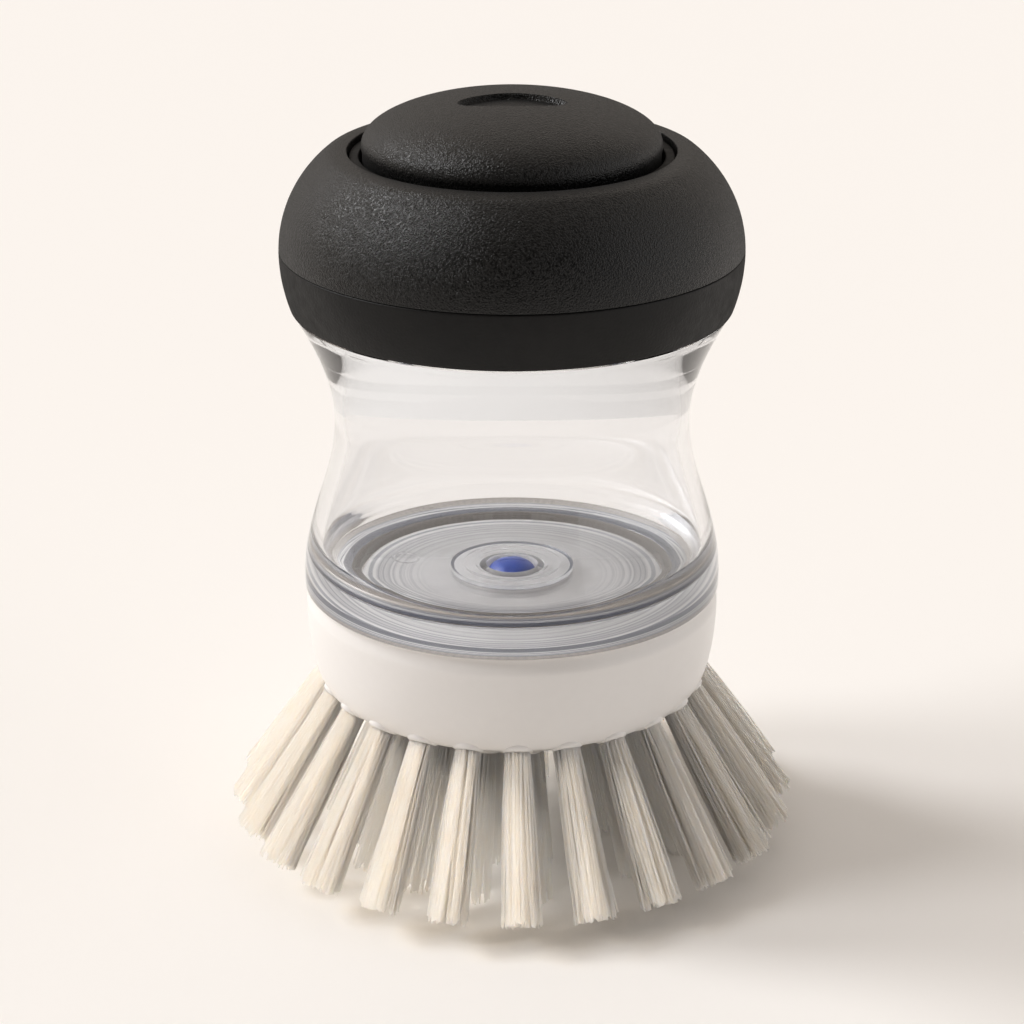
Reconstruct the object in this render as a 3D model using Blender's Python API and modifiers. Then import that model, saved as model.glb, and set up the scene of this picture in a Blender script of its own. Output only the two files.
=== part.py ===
"""Soap-dispensing palm brush.

A bowl-shaped bristle head twists onto the foot of a clear soap reservoir.  A soft-grip cap screws
onto the reservoir's neck, and the domed button in the cap presses a bellows, which drives soap
through a slit valve in the reservoir's floor to the bristles.

Metres, +Z up.  The origin is on the ground, on the brush's axis, and the front faces -Y.
"""

import math

import bmesh
import bpy
from mathutils import Matrix, Vector

# Fits between pieces
SEAT_GAP = 0.0003
SLIDE_GAP = 0.00035
CUT_OVERRUN = 0.002
MERGE_DISTANCE = 0.00001

# Facets
ROUND_STEPS = 28
SMALL_STEPS = 16
ARC_STEPS = 7
SMOOTH_ANGLE = math.radians(35)

# Bristle head
DOME_CLEARANCE = 0.0168
DOME_RADIUS = 0.0500
DOME_THICKNESS = 0.0065
DOME_STEPS = 4
HEAD_RIM_WALL = 0.00203
HEAD_EDGE_ROUND = 0.00325
HEAD_SIDE_HEIGHT = 0.0127
HEAD_BAND_HEIGHT = 0.0025
HEAD_BAND_DEPTH = 0.0007
HEAD_STEP = 0.0002
SOAP_CHANNEL_RADIUS = 0.0040

# Twist lugs on the reservoir's spigot, under catches in the head's mouth
LUG_COUNT = 4
LUG_REACH = 0.0014
LUG_WIDTH = 0.0060
LUG_HEIGHT = 0.0011
LUG_ROOT = 0.0010
LUG_RISE = 0.0003
CATCH_HEIGHT = 0.0011
CATCH_DROP = 0.00085

# Bristle tufts
OUTER_TUFTS = 24
OUTER_RING_INSET = 0.00015
OUTER_RING_TURN = math.radians(1.7)
OUTER_TUFT_LENGTH = 0.0246
OUTER_TUFT_STRANDS = 8
OUTER_TUFT_SPREAD = 0.00275
MIDDLE_TUFTS = 18
MIDDLE_RING_SHIFT = 0.0007
MIDDLE_RING_TURN = math.radians(-3.5)
MIDDLE_TUFT_STRANDS = 7
MIDDLE_TUFT_SPREAD = 0.0026
INNER_TUFTS = 12
INNER_RING_REACH = 0.0065
INNER_ARCS = 3
INNER_TUFT_STRANDS = 5
INNER_TUFT_SPREAD = 0.0021
TUFT_RADIUS = 0.0018
TUFT_SIDES = 6
TUFT_SOCKET_DEPTH = 0.0040
TUFT_COLLAR = 0.0005
TUFT_ROOT_SPREAD = 0.00118
STRAND_SIDES = 3
STRAND_ROOT_RADIUS = 0.00044
STRAND_TIP_RADIUS = 0.00060
STRAND_ROOT_DEPTH = 0.0004
TIP_TRIM = 0.0005
INNER_SLICE_HALF_WIDTH = 0.0021
INNER_SLICE_DEPTH = 0.0025
INNER_SLICE_STEPS = 36

# Head seal
HEAD_SEAL_WIDTH = 0.0018
HEAD_SEAL_HEIGHT = 0.0012

# Reservoir
SPIGOT_RADIUS = 0.0243
SPIGOT_WALL = 0.0020
FOOT_HEIGHT = 0.0013
WAIST_RADIUS = 0.02566
WAIST_HEIGHT = 0.0252
WAIST_WALL = 0.0022
FLARE_HEIGHT = 0.0170
FLARE_TURN = math.radians(72.5)
FLARE_TUCK = 0.0003
BORE_TOP_SHARE = 0.5
FLOOR_RISE = 0.00105
FLOOR_DISH = 0.0010
FLOOR_WALL = 0.0022
FLOOR_FILLET = 0.0052
NECK_RADIUS = 0.0250
NECK_WALL = 0.0022
NECK_HEIGHT = 0.0091

# Outlet valve in the reservoir's floor
VALVE_RADIUS = 0.0035
VALVE_WALL = 0.0009
VALVE_DOME_HEIGHT = 0.0020
VALVE_DOME_RISE = 0.0010
VALVE_FLANGE_REACH = 0.0010
VALVE_FLANGE_HEIGHT = 0.0008
VALVE_SLIT_WIDTH = 0.0004
VALVE_SLIT_LENGTH = 0.0040
COLLAR_RADIUS = 0.00905
COLLAR_HEIGHT = 0.0007
COLLAR_WALL = 0.0009
COLLAR_STEM_REACH = 0.0018
CLIP_WALL = 0.0015
CLIP_LIP_HEIGHT = 0.0010
CLIP_LIP_REACH = 0.0024

# Screw thread between reservoir and cap
THREAD_LEAD = 0.0040
THREAD_RIB_RADIUS = 0.0010
THREAD_RIB_RISE = 0.0002
THREAD_DEPTH = 0.0018
THREAD_START = 0.0028
THREAD_TURNS = 1.25
CAP_THREAD_START = 0.0022
CAP_THREAD_TURNS = 1.0
THREAD_STEPS = 28

# Cap
CAP_SEAL_HEIGHT = 0.0018
CAP_SEAL_INSET = 0.0001
CAP_SKIRT_LIFT = 0.0006
CORE_WALL = 0.0018
CORE_PLATE = 0.0021
CORE_PORT_RADIUS = 0.0090
GUIDE_WALL = 0.0019
GUIDE_HEIGHT = 0.00815
BAND_WALL = 0.0041
BAND_HEIGHT = 0.0078
BAND_TUCK = 0.0014
SEAM_RISE = 0.0005
GRIP_WALL = 0.0028
GRIP_ARC_CENTRE = 0.0153
GRIP_RIM_REACH = 0.0013
GRIP_LIP_HEIGHT = 0.0021
RIM_ROUND = 0.0008
LEDGE_WIDTH = 0.00165
LEDGE_COLLAR_HEIGHT = 0.0015

# Button and pump
BUTTON_RADIUS = 0.0211
BUTTON_EDGE_RISE = 0.0014
BUTTON_DOME_HEIGHT = 0.0071
BUTTON_WALL = 0.0022
BUTTON_SKIRT_STEP = 0.00015
BUTTON_EDGE_ROUND = 0.0009
BUTTON_TRAVEL = 0.0040
DOME_RADIUS_POWER = 1.2
DOME_HEIGHT_POWER = 0.92
RECESS_LENGTH = 0.0152
RECESS_WIDTH = 0.0060
RECESS_DEPTH = 0.0009
RECESS_SHIFT = 0.0024
INSERT_RADIUS = 0.0168
INSERT_PLATE = 0.0016
INSERT_PLATE_DROP = 0.0011
INSERT_HUB_RADIUS = 0.0060
INSERT_POST_RADIUS = 0.0045
BELLOWS_HEIGHT = 0.0070
BELLOWS_CROWN_RADIUS = 0.0075
BELLOWS_FOLD_RADIUS = 0.0124
BELLOWS_WAIST_RADIUS = 0.0100
BELLOWS_FOOT_RADIUS = 0.0112
BELLOWS_FLANGE_RADIUS = 0.0130
BELLOWS_FLANGE_HEIGHT = 0.0009
BELLOWS_WALL = 0.0011
BELLOWS_FOLD_SHARES = (0.72, 0.64)
BELLOWS_WAIST_SHARE = 0.42
BELLOWS_FOOT_SHARE = 0.28
CLAMP_WALL = 0.0011
CLAMP_LIP = 0.0006
SPRING_RADIUS = 0.0155
SPRING_WIRE_RADIUS = 0.0005
SPRING_TURNS = 3.5
SPRING_STEPS = 12

# Radii worked out from the sizes above
SPIGOT_BORE_RADIUS = SPIGOT_RADIUS - SPIGOT_WALL
FLOOR_EDGE_RADIUS = SPIGOT_BORE_RADIUS - SEAT_GAP
MOUTH_RADIUS = math.hypot(SPIGOT_RADIUS + LUG_REACH, LUG_WIDTH / 2) + SEAT_GAP
SEAL_SEAT_RADIUS = MOUTH_RADIUS + HEAD_SEAL_WIDTH + SEAT_GAP
HEAD_RADIUS = SEAL_SEAT_RADIUS + HEAD_RIM_WALL
FOOT_RADIUS = HEAD_RADIUS + HEAD_STEP
DOME_EDGE_RADIUS = HEAD_RADIUS - HEAD_EDGE_ROUND
OUTER_RING_RADIUS = DOME_EDGE_RADIUS - OUTER_RING_INSET
INNER_RING_RADIUS = SOAP_CHANNEL_RADIUS + INNER_RING_REACH
MIDDLE_RING_RADIUS = (OUTER_RING_RADIUS + INNER_RING_RADIUS) / 2 - MIDDLE_RING_SHIFT
VALVE_BORE_RADIUS = VALVE_RADIUS + SEAT_GAP
STEM_RADIUS = VALVE_BORE_RADIUS + COLLAR_WALL
FLOOR_HOLE_RADIUS = STEM_RADIUS + SEAT_GAP
NECK_BORE_RADIUS = NECK_RADIUS - NECK_WALL
CORE_BORE_RADIUS = NECK_RADIUS + THREAD_DEPTH
CORE_RADIUS = CORE_BORE_RADIUS + CORE_WALL
BAND_BORE_RADIUS = CORE_RADIUS + SEAT_GAP
CAP_RADIUS = BAND_BORE_RADIUS + BAND_WALL
CAP_FOOT_RADIUS = CAP_RADIUS - BAND_TUCK
FLARE_RADIUS = CAP_FOOT_RADIUS - FLARE_TUCK
GUIDE_RADIUS = BUTTON_RADIUS + SLIDE_GAP
LIP_RADIUS = GUIDE_RADIUS + LEDGE_WIDTH
RIM_RADIUS = LIP_RADIUS + GRIP_RIM_REACH

# Heights worked out from the sizes above, from the ground up
DOME_CENTRE_Z = DOME_CLEARANCE + DOME_RADIUS
DOME_EDGE_Z = DOME_CENTRE_Z - math.sqrt(DOME_RADIUS**2 - DOME_EDGE_RADIUS**2)
HEAD_BAND_Z = DOME_EDGE_Z + HEAD_SIDE_HEIGHT
HEAD_TOP_Z = HEAD_BAND_Z + HEAD_BAND_HEIGHT
FOOT_Z = HEAD_TOP_Z + SEAT_GAP
HEAD_SEAL_Z = FOOT_Z - SEAT_GAP - HEAD_SEAL_HEIGHT
SEAL_SEAT_Z = HEAD_SEAL_Z - SEAT_GAP
CATCH_TOP_Z = SEAL_SEAT_Z - CATCH_DROP
LUG_TOP_Z = CATCH_TOP_Z - CATCH_HEIGHT - SEAT_GAP
SPIGOT_Z = LUG_TOP_Z - LUG_HEIGHT - LUG_RISE
FLOOR_Z = FOOT_Z + FLOOR_RISE
FILLET_Z = FLOOR_Z + FLOOR_DISH + FLOOR_FILLET
UNDERSIDE_Z = FLOOR_Z - FLOOR_WALL
STEM_Z = UNDERSIDE_Z - COLLAR_STEM_REACH
WAIST_Z = FOOT_Z + WAIST_HEIGHT
FLANGE_Z = WAIST_Z + FLARE_HEIGHT
NECK_Z = FLANGE_Z + NECK_HEIGHT
CAP_SEAL_Z = NECK_Z + SEAT_GAP
PLATE_UNDER_Z = CAP_SEAL_Z + CAP_SEAL_HEIGHT + SEAT_GAP
PLATE_Z = PLATE_UNDER_Z + CORE_PLATE
LEDGE_Z = PLATE_Z + GUIDE_HEIGHT
BAND_FOOT_Z = FLANGE_Z + SEAT_GAP
WIDEST_Z = BAND_FOOT_Z + BAND_HEIGHT
SEAM_Z = WIDEST_Z + SEAM_RISE
LIP_Z = LEDGE_Z - LEDGE_COLLAR_HEIGHT + SEAT_GAP
RIM_Z = LIP_Z + GRIP_LIP_HEIGHT
BUTTON_EDGE_Z = LEDGE_Z + BUTTON_EDGE_RISE
BUTTON_FOOT_Z = PLATE_Z + SEAT_GAP + BUTTON_TRAVEL
PUMP_Z = PLATE_Z + SEAT_GAP
BELLOWS_TOP_Z = PUMP_Z + BELLOWS_HEIGHT
INSERT_Z = BUTTON_EDGE_Z - INSERT_PLATE_DROP


def clear_scene():
    """Remove whatever the scene holds."""
    for item in list(bpy.data.objects):
        bpy.data.objects.remove(item, do_unlink=True)


def new_collection(name):
    """A collection under the scene's own."""
    group = bpy.data.collections.new(name)
    bpy.context.scene.collection.children.link(group)
    return group


def make_material(name, color, roughness, metallic=0, transmission=0):
    """A Principled material."""
    finish = bpy.data.materials.new(name)
    finish.use_nodes = True
    shader = finish.node_tree.nodes["Principled BSDF"]
    shader.inputs["Base Color"].default_value = (*color, 1)
    shader.inputs["Roughness"].default_value = roughness
    shader.inputs["Metallic"].default_value = metallic
    shader.inputs["Transmission Weight"].default_value = transmission
    finish.diffuse_color = (*color, 1)
    return finish


def soft_grip_material():
    return make_material("soft_grip_black", (0.016, 0.016, 0.017), 0.62)


def cap_plastic_material():
    return make_material("cap_plastic_black", (0.018, 0.018, 0.020), 0.40)


def clear_plastic_material():
    return make_material("clear_plastic", (0.93, 0.95, 0.95), 0.05, transmission=1)


def white_plastic_material():
    return make_material("white_plastic", (0.86, 0.85, 0.82), 0.35)


def blue_silicone_material():
    return make_material("blue_silicone", (0.05, 0.20, 0.55), 0.45)


def seal_material():
    return make_material("seal_silicone", (0.10, 0.11, 0.14), 0.50)


def spring_steel_material():
    return make_material("spring_steel", (0.62, 0.62, 0.63), 0.28, metallic=1)


def bristle_material():
    return make_material("nylon_bristle", (0.80, 0.79, 0.76), 0.45)


def add_piece(name, mesh, finish, group):
    """An object of a mesh, in a collection, with its material."""
    piece = bpy.data.objects.new(name, mesh)
    if finish:
        mesh.materials.clear()
        mesh.materials.append(finish)
    group.objects.link(piece)
    return piece


def add_cutter(name, mesh, cutters):
    """An object that only cuts or joins others."""
    tool = add_piece(name, mesh, None, cutters)
    tool.hide_render = True
    tool.display_type = "WIRE"
    return tool


def turned(name, outline, finish, group, steps=ROUND_STEPS, closed=True):
    """Turn an outline of (radius, height) points round the Z axis.

    The points run down the outer side and back up the inner side.  An outline that isn't closed
    starts and ends on the axis.
    """
    mesh = bpy.data.meshes.new(name)
    edges = [(i, i + 1) for i in range(len(outline) - 1)]
    if closed:
        edges.append((len(outline) - 1, 0))
    mesh.from_pydata([(radius, 0, height) for radius, height in outline], edges, [])
    piece = add_piece(name, mesh, finish, group)
    screw = piece.modifiers.new("turn", "SCREW")
    screw.steps = steps
    screw.render_steps = steps
    screw.use_merge_vertices = True
    screw.merge_threshold = MERGE_DISTANCE
    return piece


def boolean(piece, tool, operation):
    """Cut a tool out of a piece, or join it on."""
    step = piece.modifiers.new(tool.name, "BOOLEAN")
    step.operation = operation
    step.solver = "EXACT"
    step.object = tool


def frozen_mesh(piece):
    """The mesh of a piece with its modifiers applied, smooth but for its sharp edges."""
    bpy.context.view_layer.update()
    graph = bpy.context.evaluated_depsgraph_get()
    mesh = bpy.data.meshes.new_from_object(piece.evaluated_get(graph))
    mesh.shade_smooth()
    mesh.set_sharp_from_angle(angle=SMOOTH_ANGLE)
    return mesh


def freeze(piece):
    """Apply a piece's modifiers."""
    mesh = frozen_mesh(piece)
    piece.modifiers.clear()
    piece.data = mesh


def arc(centre, reach, start, end, steps):
    """Points of an elliptical arc in the outline's plane."""
    points = []
    for i in range(steps + 1):
        angle = start + (end - start) * i / steps
        points.append((centre[0] + reach[0] * math.cos(angle), centre[1] + reach[1] * math.sin(angle)))
    return points


def sphere_z(radius, sphere_radius):
    """Height of the bristle face's sphere, or of one inside it, at a radius."""
    return DOME_CENTRE_Z - math.sqrt(sphere_radius**2 - radius**2)


def sphere_arc(sphere_radius, start, end, steps):
    """Outline points on such a sphere, from one radius to another."""
    radii = [start + (end - start) * i / steps for i in range(steps + 1)]
    return [(radius, sphere_z(radius, sphere_radius)) for radius in radii]


def boxes_mesh(name, size, centre, count):
    """A ring of equal boxes round the Z axis; size and centre are of the one on +X."""
    shape = bmesh.new()
    for i in range(count):
        place = Matrix.Rotation(math.tau * i / count, 4, "Z") @ Matrix.Translation(centre)
        bmesh.ops.create_cube(shape, size=1, matrix=place @ Matrix.Diagonal((*size, 1)))
    mesh = bpy.data.meshes.new(name)
    shape.to_mesh(mesh)
    shape.free()
    return mesh


def helix(radius, start_z, start_turn, turns, lead, steps):
    """Points of a right-hand helix round the Z axis."""
    count = round(turns * steps)
    points = []
    for i in range(count + 1):
        turn = turns * i / count
        angle = math.tau * (start_turn + turn)
        points.append(Vector((radius * math.cos(angle), radius * math.sin(angle), start_z + lead * turn)))
    return points


def wire_mesh(name, points, wire_radius):
    """The welded mesh of a round wire through points."""
    curve = bpy.data.curves.new(name, "CURVE")
    curve.dimensions = "3D"
    curve.bevel_depth = wire_radius
    curve.bevel_resolution = 1
    curve.use_fill_caps = True
    spline = curve.splines.new("POLY")
    spline.points.add(len(points) - 1)
    for spot, point in zip(spline.points, points):
        spot.co = (*point, 1)
    wire = bpy.data.objects.new(name, curve)
    bpy.context.scene.collection.objects.link(wire)
    bpy.context.view_layer.update()
    graph = bpy.context.evaluated_depsgraph_get()
    mesh = bpy.data.meshes.new_from_object(wire.evaluated_get(graph))
    mesh.transform(wire.matrix_world)
    bpy.data.objects.remove(wire)
    shape = bmesh.new()
    shape.from_mesh(mesh)
    bmesh.ops.remove_doubles(shape, verts=shape.verts, dist=MERGE_DISTANCE)
    bmesh.ops.recalc_face_normals(shape, faces=shape.faces)
    shape.to_mesh(mesh)
    shape.free()
    return mesh


def least_gap(points, wire_radius):
    """Least gap between the turns of a wire, measured on its points."""
    gap = math.inf
    apart = SPRING_STEPS // 2
    for i, point in enumerate(points):
        for other in points[i + apart :]:
            gap = min(gap, (point - other).length - 2 * wire_radius)
    return gap


def head_outline():
    """Outline of the hollow bristle block."""
    slice_out = INNER_RING_RADIUS + INNER_SLICE_HALF_WIDTH + SEAT_GAP
    slice_in = INNER_RING_RADIUS - INNER_SLICE_HALF_WIDTH - SEAT_GAP
    slice_z = sphere_z(INNER_RING_RADIUS, DOME_RADIUS) + INNER_SLICE_DEPTH + SEAT_GAP
    floor_radius = DOME_RADIUS - DOME_THICKNESS
    points = [
        (MOUTH_RADIUS, SEAL_SEAT_Z),
        (SEAL_SEAT_RADIUS, SEAL_SEAT_Z),
        (SEAL_SEAT_RADIUS, HEAD_TOP_Z),
        (HEAD_RADIUS - HEAD_BAND_DEPTH, HEAD_TOP_Z),
        (HEAD_RADIUS - HEAD_BAND_DEPTH, HEAD_BAND_Z),
    ]
    edge_reach = (HEAD_EDGE_ROUND, HEAD_SIDE_HEIGHT)
    points += arc((DOME_EDGE_RADIUS, HEAD_BAND_Z), edge_reach, 0, -math.pi / 2, ARC_STEPS)
    points += sphere_arc(DOME_RADIUS, DOME_EDGE_RADIUS, slice_out, DOME_STEPS)[1:]
    points += [(slice_out, slice_z), (slice_in, slice_z), (slice_in, sphere_z(slice_in, DOME_RADIUS))]
    points.append((SOAP_CHANNEL_RADIUS, sphere_z(SOAP_CHANNEL_RADIUS, DOME_RADIUS)))
    points += sphere_arc(floor_radius, SOAP_CHANNEL_RADIUS, MOUTH_RADIUS, DOME_STEPS)
    return points


def tuft_axis(ring_radius):
    """Direction of a tuft of a ring, at azimuth 0: square to the bristle face."""
    tilt = math.asin(ring_radius / DOME_RADIUS)
    return Vector((math.sin(tilt), 0, -math.cos(tilt)))


def socket_cutters(cutters):
    """Blind sockets for the outer and middle tufts."""
    shape = bmesh.new()
    radius = TUFT_RADIUS + SEAT_GAP
    outer = (OUTER_TUFTS, OUTER_RING_RADIUS, OUTER_RING_TURN)
    middle = (MIDDLE_TUFTS, MIDDLE_RING_RADIUS, MIDDLE_RING_TURN)
    for count, ring_radius, ring_turn in (outer, middle):
        axis = tuft_axis(ring_radius)
        halfway = DOME_RADIUS + (CUT_OVERRUN - TUFT_SOCKET_DEPTH) / 2
        place = Matrix.Translation(Vector((0, 0, DOME_CENTRE_Z)) + axis * halfway)
        turn = axis.to_track_quat("Z", "Y").to_matrix().to_4x4()
        for i in range(count):
            azimuth = Matrix.Rotation(ring_turn + math.tau * i / count, 4, "Z")
            bmesh.ops.create_cone(
                shape,
                cap_ends=True,
                segments=TUFT_SIDES,
                radius1=radius,
                radius2=radius,
                depth=TUFT_SOCKET_DEPTH + CUT_OVERRUN,
                matrix=azimuth @ place @ turn,
            )
    mesh = bpy.data.meshes.new("tuft_sockets")
    shape.to_mesh(mesh)
    shape.free()
    return add_cutter("tuft_sockets", mesh, cutters)


def make_brush_block(group, cutters, finish):
    """White block with its mouth, catches, soap channel and tuft sockets."""
    block = turned("brush_block", head_outline(), finish, group)
    inner = SPIGOT_RADIUS + SEAT_GAP
    outer = MOUTH_RADIUS + LUG_ROOT
    size = (outer - inner, LUG_WIDTH, CATCH_HEIGHT)
    place = ((inner + outer) / 2, 0, CATCH_TOP_Z - CATCH_HEIGHT / 2)
    catches = add_cutter("mouth_catches", boxes_mesh("mouth_catches", size, place, LUG_COUNT), cutters)
    boolean(block, catches, "UNION")
    boolean(block, socket_cutters(cutters), "DIFFERENCE")
    freeze(block)


def add_strand(shape, root, tip):
    """One strand between two points."""
    along = tip - root
    turn = along.to_track_quat("Z", "Y").to_matrix().to_4x4()
    bmesh.ops.create_cone(
        shape,
        cap_ends=True,
        segments=STRAND_SIDES,
        radius1=STRAND_ROOT_RADIUS,
        radius2=STRAND_TIP_RADIUS,
        depth=along.length,
        matrix=Matrix.Translation((root + tip) / 2) @ turn,
    )


def add_tuft_strands(shape, ring_radius, count, spread, root_reach, length, azimuth=0):
    """The strands of one tuft: one along its axis, the others splayed round it.

    Without a length they run to the ground, and past it by what is trimmed off.
    """
    axis = tuft_axis(ring_radius)
    side = Vector((0, 1, 0))
    up = axis.cross(side)
    about = Matrix.Rotation(azimuth, 3, "Z")
    centre = Vector((0, 0, DOME_CENTRE_Z))
    reach = length or DOME_CENTRE_Z / -axis.z - DOME_RADIUS
    for i in range(count):
        angle = math.tau * i / (count - 1)
        out = side * math.cos(angle) + up * math.sin(angle) if i < count - 1 else Vector()
        root = centre + axis * (DOME_RADIUS + root_reach) + out * TUFT_ROOT_SPREAD
        tip = centre + axis * (DOME_RADIUS + reach) + out * spread
        if not length:
            tip = root + (tip - root) * (root.z + TIP_TRIM) / (root.z - tip.z)
        add_strand(shape, about @ root, about @ tip)


def strands_cutter(name, shape, cutters):
    """The strands of a bmesh, as one operand."""
    mesh = bpy.data.meshes.new(name)
    shape.to_mesh(mesh)
    shape.free()
    return add_cutter(name, mesh, cutters)


def ground_cutter(cutters):
    """A slab under the ground, which trims the tips flat."""
    width = 2 * (OUTER_RING_RADIUS + OUTER_TUFT_LENGTH)
    mesh = boxes_mesh("ground_trim", (width, width, CUT_OVERRUN), (0, 0, -CUT_OVERRUN / 2), 1)
    return add_cutter("ground_trim", mesh, cutters)


def tuft_mesh(name, ring_radius, count, spread, length, ground, cutters):
    """Mesh of one tuft at azimuth 0: a plug that fills its socket, and the strands fused to it."""
    axis = tuft_axis(ring_radius)
    depth = TUFT_SOCKET_DEPTH - SEAT_GAP
    middle = DOME_RADIUS + (TUFT_COLLAR - depth) / 2
    turn = axis.to_track_quat("Z", "Y").to_matrix().to_4x4()
    plug = bmesh.new()
    bmesh.ops.create_cone(
        plug,
        cap_ends=True,
        segments=TUFT_SIDES,
        radius1=TUFT_RADIUS,
        radius2=TUFT_RADIUS,
        depth=depth + TUFT_COLLAR,
        matrix=Matrix.Translation(Vector((0, 0, DOME_CENTRE_Z)) + axis * middle) @ turn,
    )
    model = strands_cutter(name + "_model", plug, cutters)
    strands = bmesh.new()
    add_tuft_strands(strands, ring_radius, count, spread, TUFT_COLLAR - STRAND_ROOT_DEPTH, length)
    boolean(model, strands_cutter(name + "_strands", strands, cutters), "UNION")
    if not length:
        boolean(model, ground, "DIFFERENCE")
    return frozen_mesh(model)


def make_tuft_ring(name, count, ring_turn, mesh, finish, group):
    """One object for each tuft, or arc of tufts, of a ring, all of one mesh."""
    for i in range(count):
        tuft = add_piece(f"{name}_{i + 1:02d}", mesh, finish, group)
        tuft.rotation_euler = (0, 0, ring_turn + math.tau * i / count)


def slice_end_cutter(name, side, cutters):
    """A slab that cuts the inner tufts' slice off at one end of its arc; side is 1 or -1."""
    width = 2 * DOME_EDGE_RADIUS
    shape = bmesh.new()
    turn = Matrix.Rotation(side * math.pi / INNER_ARCS, 4, "Z")
    place = turn @ Matrix.Translation((0, side * (width - SEAT_GAP) / 2, DOME_CENTRE_Z / 2))
    bmesh.ops.create_cube(shape, size=1, matrix=place @ Matrix.Diagonal((width, width, DOME_CENTRE_Z, 1)))
    return strands_cutter(name, shape, cutters)


def inner_arc_mesh(ground, cutters):
    """Mesh of an arc of the inner ring: its slice of backing, and the tufts fused to it."""
    out = INNER_RING_RADIUS + INNER_SLICE_HALF_WIDTH
    inner = INNER_RING_RADIUS - INNER_SLICE_HALF_WIDTH
    top = sphere_z(INNER_RING_RADIUS, DOME_RADIUS) + INNER_SLICE_DEPTH
    outline = [(inner, top), (out, top), (out, sphere_z(out, DOME_RADIUS) - TUFT_COLLAR)]
    outline.append((inner, sphere_z(inner, DOME_RADIUS) - TUFT_COLLAR))
    model = turned("inner_arc_model", outline, None, cutters, steps=INNER_SLICE_STEPS)
    model.hide_render = True
    model.display_type = "WIRE"
    boolean(model, slice_end_cutter("slice_end_left", 1, cutters), "DIFFERENCE")
    boolean(model, slice_end_cutter("slice_end_right", -1, cutters), "DIFFERENCE")
    count = INNER_TUFTS // INNER_ARCS
    strands = bmesh.new()
    for i in range(count):
        azimuth = math.tau * (i - (count - 1) / 2) / INNER_TUFTS
        add_tuft_strands(
            strands,
            INNER_RING_RADIUS,
            INNER_TUFT_STRANDS,
            INNER_TUFT_SPREAD,
            -STRAND_ROOT_DEPTH,
            0,
            azimuth,
        )
    boolean(model, strands_cutter("inner_strands", strands, cutters), "UNION")
    boolean(model, ground, "DIFFERENCE")
    return frozen_mesh(model)


def make_tufts(group, cutters, finish):
    """All bristle tufts."""
    ground = ground_cutter(cutters)
    outer = tuft_mesh(
        "outer_tuft",
        OUTER_RING_RADIUS,
        OUTER_TUFT_STRANDS,
        OUTER_TUFT_SPREAD,
        OUTER_TUFT_LENGTH,
        ground,
        cutters,
    )
    make_tuft_ring("tuft_outer", OUTER_TUFTS, OUTER_RING_TURN, outer, finish, group)
    middle = tuft_mesh(
        "middle_tuft",
        MIDDLE_RING_RADIUS,
        MIDDLE_TUFT_STRANDS,
        MIDDLE_TUFT_SPREAD,
        0,
        ground,
        cutters,
    )
    make_tuft_ring("tuft_middle", MIDDLE_TUFTS, MIDDLE_RING_TURN, middle, finish, group)
    make_tuft_ring("tufts_inner", INNER_ARCS, 0, inner_arc_mesh(ground, cutters), finish, group)


def make_ring(name, inner, outer, bottom, height, finish, group, steps=ROUND_STEPS):
    """A flat ring of rectangular section."""
    top = bottom + height
    outline = [(inner, top), (outer, top), (outer, bottom), (inner, bottom)]
    freeze(turned(name, outline, finish, group, steps))


def make_seals(group, finish):
    """The head's seal, and the cap's."""
    make_ring(
        "head_seal",
        MOUTH_RADIUS,
        MOUTH_RADIUS + HEAD_SEAL_WIDTH,
        HEAD_SEAL_Z,
        HEAD_SEAL_HEIGHT,
        finish,
        group,
    )
    make_ring(
        "cap_seal",
        NECK_BORE_RADIUS + CAP_SEAL_INSET,
        CORE_BORE_RADIUS - SEAT_GAP,
        CAP_SEAL_Z,
        CAP_SEAL_HEIGHT,
        finish,
        group,
    )


def flare_radius(share):
    """Outer radius of the reservoir above its waist, by the share of the flare's height."""
    rise = (1 - math.cos(FLARE_TURN * share)) / (1 - math.cos(FLARE_TURN))
    return WAIST_RADIUS + (FLARE_RADIUS - WAIST_RADIUS) * rise


def foot_radius(share):
    """Outer radius of the reservoir below its waist, by the share of the way down to the foot."""
    return WAIST_RADIUS + (FOOT_RADIUS - WAIST_RADIUS) * (1 - math.cos(math.pi * share)) / 2


def floor_points(start, end, centre_z):
    """Outline of a dished floor from one radius out to another."""
    points = []
    for i in range(DOME_STEPS):
        share = i / (DOME_STEPS - 1)
        points.append((start + (end - start) * share, centre_z + FLOOR_DISH * share**2))
    return points


def foot_curve(start, end, inset):
    """Outline of the reservoir's lower wall between two shares of the way down, set in by a wall."""
    drop = WAIST_Z - FOOT_Z - FOOT_HEIGHT
    points = []
    for i in range(ARC_STEPS + 1):
        share = start + (end - start) * i / ARC_STEPS
        points.append((foot_radius(share) - inset, WAIST_Z - drop * share))
    return points


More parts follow.
